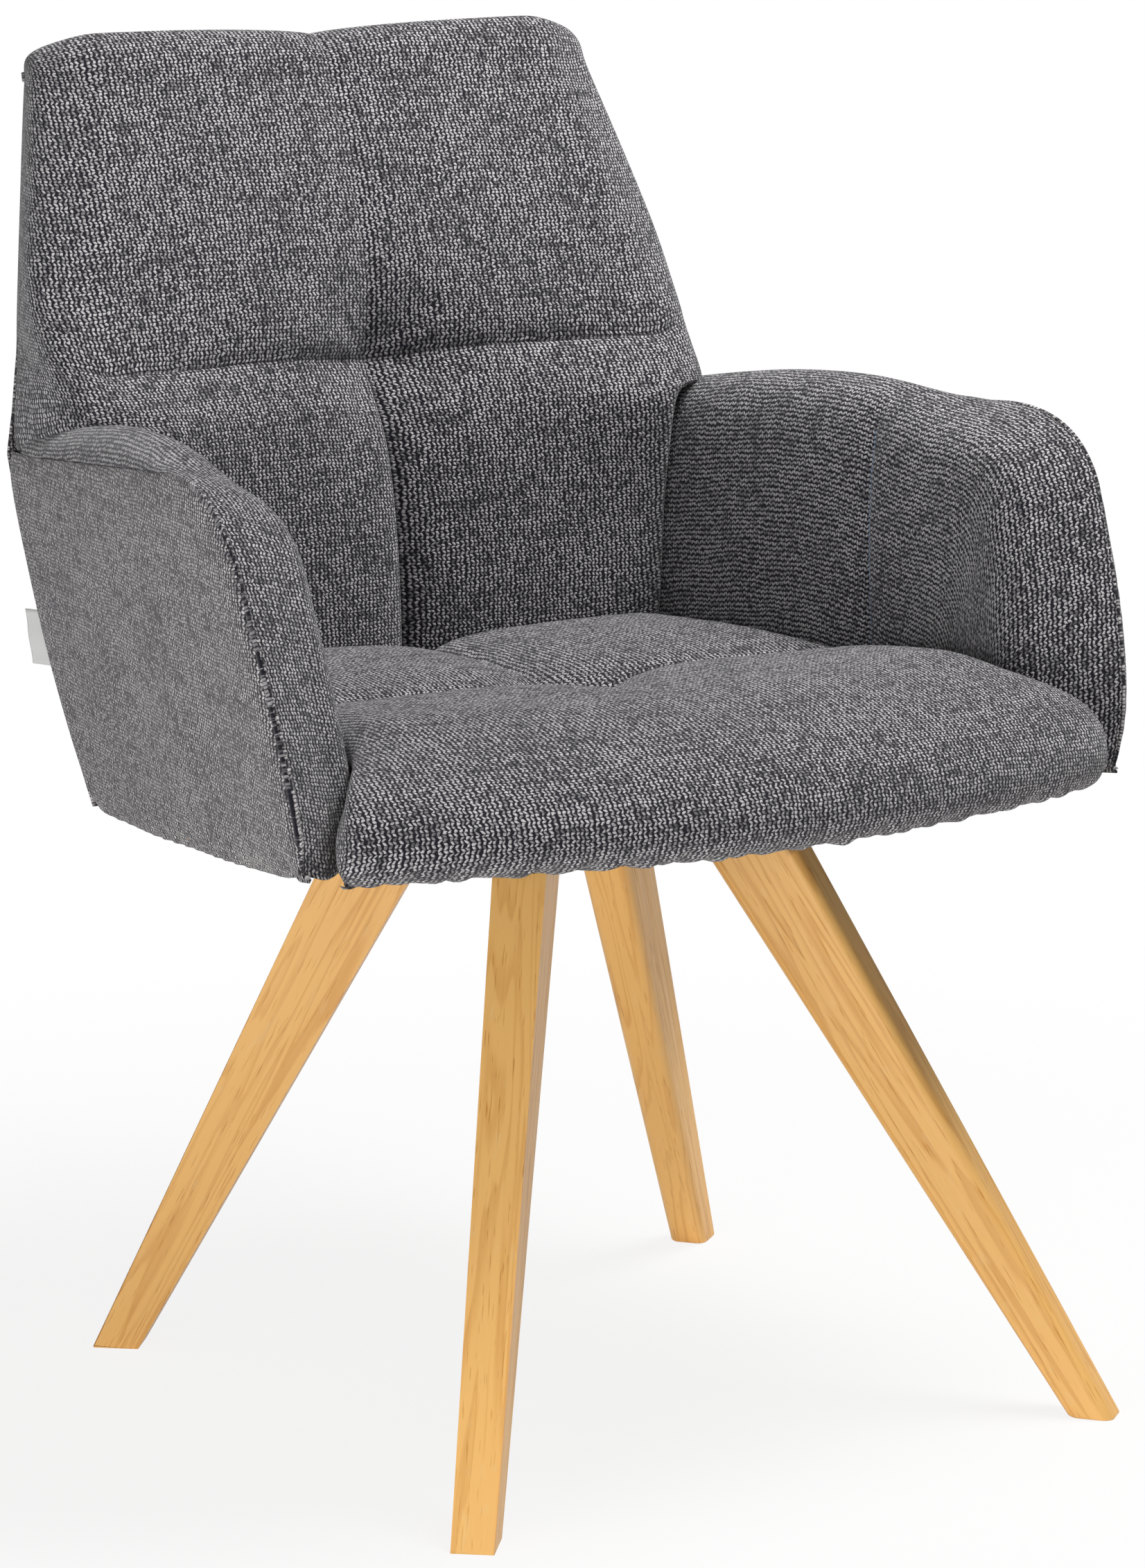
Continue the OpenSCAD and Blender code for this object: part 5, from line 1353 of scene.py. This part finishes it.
class MakeOutsideBack(Operator):
    """Makes the stretched cover of the outside back"""
    bl_idname = "armchair.outside_back"
    bl_label = "Outside Back"

    def execute(self, context):
        points, uv = outside_back_surface()
        piece = mesh_piece("outside_back_panel", cloth_bmesh(points, uv),
                           ["outside_back_cover"], PANEL_COVER * 0.7)
        paint(piece, panel_cloth())
        return {"FINISHED"}


class MakeLabelTab(Operator):
    """Makes the bare label tab in the rear seam of the right side panel"""
    bl_idname = "armchair.label_tab"
    bl_label = "Label Tab"

    def execute(self, context):
        low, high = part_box("label_tab")
        near = Vector((high.x, low.y, 0.0))
        far = Vector((low.x, high.y, 0.0))
        width = (far - near).length - 0.007
        height = high.z - low.z
        rake = settings().shell.back_rake
        bm = bmesh.new()
        bmesh.ops.create_grid(bm, x_segments=16, y_segments=12, size=0.5)
        layer = bm.loops.layers.uv.new("Cloth")
        for face in bm.faces:
            for loop in face.loops:
                loop[layer].uv = (loop.vert.co.x * width, loop.vert.co.y * height)
        step = (far - near).normalized()
        aside = Vector((step.y, -step.x, 0.0))
        for vert in bm.verts:
            u = vert.co.x + 0.5
            v = vert.co.y
            curl = 0.0012 * math.sin(u * 2.4) * (0.6 + v) - 0.0004 * math.cos(v * 9.0)
            up = Vector((0, rake * height * v, low.z + height * (v + 0.5) - 0.0006 * u))
            vert.co = near + step * width * u + aside * curl + up
        bm.normal_update()
        bmesh.ops.solidify(bm, geom=bm.faces[:], thickness=0.0006)
        piece = mesh_piece("label_tape", bm, ["label_tab"])
        n = Nodes("label_tape")
        uv = n.add("ShaderNodeUVMap", uv_map="Cloth").outputs[0]
        fine = n.noise(n.scaled(uv, (1.0, 5.0, 1.0)), 1800.0, 2.0)
        tape = n.mix(n.span(fine, 0.3, 0.7), (0.70, 0.70, 0.69), (0.80, 0.80, 0.79))
        n.join(tape, n.shader.inputs["Base Color"])
        n.shader.inputs["Roughness"].default_value = 0.55
        n.shader.inputs["Sheen Weight"].default_value = 0.1
        n.bump(fine, 0.00012)
        paint(piece, n.material)
        return {"FINISHED"}


class MakeDustCover(Operator):
    """Makes the black dust cover under the seat, with a slight sag between its staples"""
    bl_idname = "armchair.dust_cover"
    bl_label = "Dust Cover"

    def execute(self, context):
        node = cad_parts["dust_cover"]
        bm = bmesh.new()
        bm.from_mesh(node.data)
        bmesh.ops.remove_doubles(bm, verts=bm.verts, dist=0.00002)
        cut_across(bm, 0, np.linspace(-0.26, 0.26, 14), 0.0001)
        cut_across(bm, 1, np.linspace(-0.29, 0.17, 12), 0.0001)
        for vert in bm.verts:
            x, y = vert.co.x, vert.co.y
            away = ease((0.235 - abs(x)) / 0.08) * ease((0.15 - y) / 0.06) * ease((y + 0.27) / 0.05)
            vert.co.z -= 0.0012 * away * (1.2 + math.sin(x * 38.0) * math.sin(y * 31.0 + 0.8))
        area = sum(face.calc_area() for face in bm.faces) / 2
        piece = mesh_piece("dust_sheet", bm, ["dust_cover"])
        for polygon in piece.data.polygons:
            polygon.use_smooth = False
        paint(piece, plain_finish("black_nonwoven"))
        return {"FINISHED"}


class MakeLegs(Operator):
    """Makes the four tapered oak legs with rounded long edges"""
    bl_idname = "armchair.legs"
    bl_label = "Legs"

    def execute(self, context):
        sizes = settings().leg
        ends = {
            "front_left_leg": ((0.072, -0.115), (0.234, -0.313)),
            "front_right_leg": ((-0.072, -0.115), (-0.234, -0.313)),
            "rear_left_leg": ((0.068, 0.034), (0.233, 0.170)),
            "rear_right_leg": ((-0.068, 0.034), (-0.233, 0.170)),
        }
        for seed, (name, (top, foot)) in enumerate(ends.items()):
            bm = bmesh.new()
            bmesh.ops.create_cube(bm, size=1.0)
            angle = math.atan2(foot[1] - top[1], foot[0] - top[0])
            for vert in bm.verts:
                upper = vert.co.z > 0
                width = sizes.top_width if upper else sizes.foot_width
                thickness = sizes.top_thickness if upper else sizes.foot_thickness
                along, aside = vert.co.x * width, vert.co.y * thickness
                centre = top if upper else foot
                vert.co = (centre[0] + along * math.cos(angle) - aside * math.sin(angle),
                           centre[1] + along * math.sin(angle) + aside * math.cos(angle),
                           sizes.top_height if upper else 0.0)
            long_edges = [e for e in bm.edges if abs(e.verts[0].co.z - e.verts[1].co.z) > 0.1]
            bmesh.ops.bevel(bm, geom=long_edges, offset=sizes.edge_radius, segments=8, profile=0.5,
                            affect="EDGES", material=-1)
            foot_edges = [e for e in bm.edges if all(v.co.z < 0.0001 for v in e.verts)]
            bmesh.ops.bevel(bm, geom=foot_edges, offset=sizes.foot_chamfer, segments=3, profile=0.5,
                            affect="EDGES", material=-1)
            cut_across(bm, 2, np.linspace(0.02, sizes.top_height - 0.02, 12), 0.00001)
            bmesh.ops.recalc_face_normals(bm, faces=bm.faces[:])
            piece = mesh_piece(f"{name}_oak", bm, [name])
            for polygon in piece.data.polygons:
                polygon.use_smooth = polygon.area < 0.00015
            axis = Vector((top[0] - foot[0], top[1] - foot[1], sizes.top_height))
            turn = axis.to_track_quat("Z", "Y").inverted().to_euler()
            knots = {"rear_right_leg": (((-0.172, 0.086, 0.206), 0.0035),),
                     "front_left_leg": (((0.092, -0.168, 0.372), 0.005),)}.get(name, ())
            paint(piece, oak_wood(f"{name}_oak", tuple(turn), seed + 1, knots))
        return {"FINISHED"}


class FinishFrame(Operator):
    """Gives every carried-over frame piece and fastener its finish"""
    bl_idname = "armchair.finish_frame"
    bl_label = "Frame Finishes"

    def execute(self, context):
        for finish, names in FRAME_FINISHES.items():
            material = plain_finish(finish)
            for name in names:
                paint(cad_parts[name], material)
        return {"FINISHED"}


class MakeStage(Operator):
    """Makes the pale floor, the soft light and the camera"""
    bl_idname = "armchair.stage"
    bl_label = "Stage"

    def execute(self, context):
        look = settings().stage
        scene = context.scene
        bm = bmesh.new()
        bmesh.ops.create_grid(bm, x_segments=1, y_segments=1, size=14.0)
        mesh = bpy.data.meshes.new("floor")
        bm.to_mesh(mesh)
        bm.free()
        floor = bpy.data.objects.new("floor", mesh)
        scene.collection.objects.link(floor)
        n = Nodes("floor_paper")
        tree = n.tree
        place = n.add("ShaderNodeTexCoord").outputs["Object"]
        away = n.add("ShaderNodeVectorMath", operation="LENGTH")
        n.join(place, away.inputs[0])
        n.shader.inputs["Base Color"].default_value = (0.90, 0.90, 0.90, 1.0)
        n.shader.inputs["Roughness"].default_value = 1.0
        n.shader.inputs["Specular IOR Level"].default_value = 0.0
        ways = n.add("ShaderNodeLightPath")
        seen = n.math("MAXIMUM", ways.outputs["Is Camera Ray"],
                      n.math("MAXIMUM", ways.outputs["Is Glossy Ray"], ways.outputs["Is Transmission Ray"]))
        glow = n.add("ShaderNodeEmission")
        glow.inputs["Color"].default_value = (1.0, 1.0, 1.0, 1.0)
        blend = n.add("ShaderNodeMixShader")
        # White to the camera, with the chair's soft shadow near it
        n.join(n.math("MULTIPLY", seen, n.span(away.outputs[1], 0.45, 1.3, 0.86, 1.0)), blend.inputs[0])
        n.join(n.shader.outputs[0], blend.inputs[1])
        n.join(glow.outputs[0], blend.inputs[2])
        n.join(blend.outputs[0], tree.nodes["Material Output"].inputs["Surface"])
        paint(floor, n.material)

        world = bpy.data.worlds.new("studio")
        scene.world = world
        world.use_nodes = True
        tree = world.node_tree
        sky = tree.nodes["Background"]
        sky.inputs["Color"].default_value = (1.0, 1.0, 1.0, 1.0)
        ways = tree.nodes.new("ShaderNodeLightPath")
        either = tree.nodes.new("ShaderNodeMath")
        either.operation = "MAXIMUM"
        tree.links.new(ways.outputs["Is Camera Ray"], either.inputs[0])
        tree.links.new(ways.outputs["Is Transmission Ray"], either.inputs[1])
        level = tree.nodes.new("ShaderNodeMapRange")
        tree.links.new(either.outputs[0], level.inputs[0])
        level.inputs[3].default_value = look.sky
        level.inputs[4].default_value = 1.0
        tree.links.new(level.outputs[0], sky.inputs["Strength"])

        def lamp(name, place, aim, size, power):
            data = bpy.data.lights.new(name, "AREA")
            data.shape = "RECTANGLE"
            data.size = size[0]
            data.size_y = size[1]
            data.energy = power
            thing = bpy.data.objects.new(name, data)
            thing.location = place
            way = Vector(aim) - Vector(place)
            thing.rotation_mode = "QUATERNION"
            thing.rotation_quaternion = way.to_track_quat("-Z", "Y")
            scene.collection.objects.link(thing)

        lamp("key_light", (0.80, -0.40, 2.55), (0.0, -0.05, 0.5), (1.2, 1.2), look.key)
        lamp("fill_light", (-2.2, -1.0, 0.42), (0.0, 0.0, 0.32), (1.8, 0.8), look.fill)

        data = bpy.data.cameras.new("camera")
        data.sensor_width = 36.0
        data.lens = look.lens
        data.clip_start = 0.05
        camera = bpy.data.objects.new("camera", data)
        a, e = math.radians(look.azimuth), math.radians(look.elevation)
        back = Vector((math.sin(a) * math.cos(e), -math.cos(a) * math.cos(e), math.sin(e)))
        target = Vector((0.0, -0.0479, 0.4009))
        turn = (-back).to_track_quat("-Z", "Y").to_matrix() @ Matrix.Rotation(math.radians(look.roll), 3, "Z")
        camera.rotation_mode = "QUATERNION"
        camera.rotation_quaternion = turn.to_quaternion()
        camera.location = target + back * look.distance
        scene.collection.objects.link(camera)
        scene.camera = camera
        scene.view_settings.view_transform = "Standard"
        return {"FINISHED"}


class ArmchairPanel(Panel):
    """Lists the armchair's pieces and settings"""
    bl_idname = "VIEW3D_PT_armchair"
    bl_label = "Armchair"
    bl_space_type = "VIEW_3D"
    bl_region_type = "UI"
    bl_category = "Armchair"

    def draw(self, context):
        for step in STEPS:
            self.layout.operator(step.bl_idname)
        for group in ("shell", "seat", "back", "arm", "leg", "cloth", "oak", "stage"):
            sizes = getattr(context.scene.armchair, group)
            box = self.layout.box()
            box.label(text=group.capitalize())
            for key in sizes.__annotations__:
                box.prop(sizes, key)


STEPS = (MakeSeatPad, MakeBackPad, MakeArmPads, MakeSidePanels, MakeOutsideBack, MakeLabelTab, MakeDustCover,
         MakeLegs, FinishFrame, MakeStage)
CLASSES = (ShellSizes, SeatSizes, BackSizes, ArmSizes, LegSizes, ClothLook, OakLook, StageLook,
           ArmchairSettings, *STEPS, ArmchairPanel)


def register():
    for item in CLASSES:
        bpy.utils.register_class(item)
    bpy.types.Scene.armchair = PointerProperty(type=ArmchairSettings)


def unregister():
    del bpy.types.Scene.armchair
    for item in reversed(CLASSES):
        bpy.utils.unregister_class(item)


def main():
    register()
    bpy.ops.armchair.stage()
    bpy.ops.armchair.seat_pad()
    bpy.ops.armchair.back_pad()
    bpy.ops.armchair.arm_pads()
    bpy.ops.armchair.side_panels()
    bpy.ops.armchair.outside_back()
    bpy.ops.armchair.label_tab()
    bpy.ops.armchair.dust_cover()
    bpy.ops.armchair.legs()
    bpy.ops.armchair.finish_frame()
    bpy.context.view_layer.update()


if __name__ == "__main__":
    main()
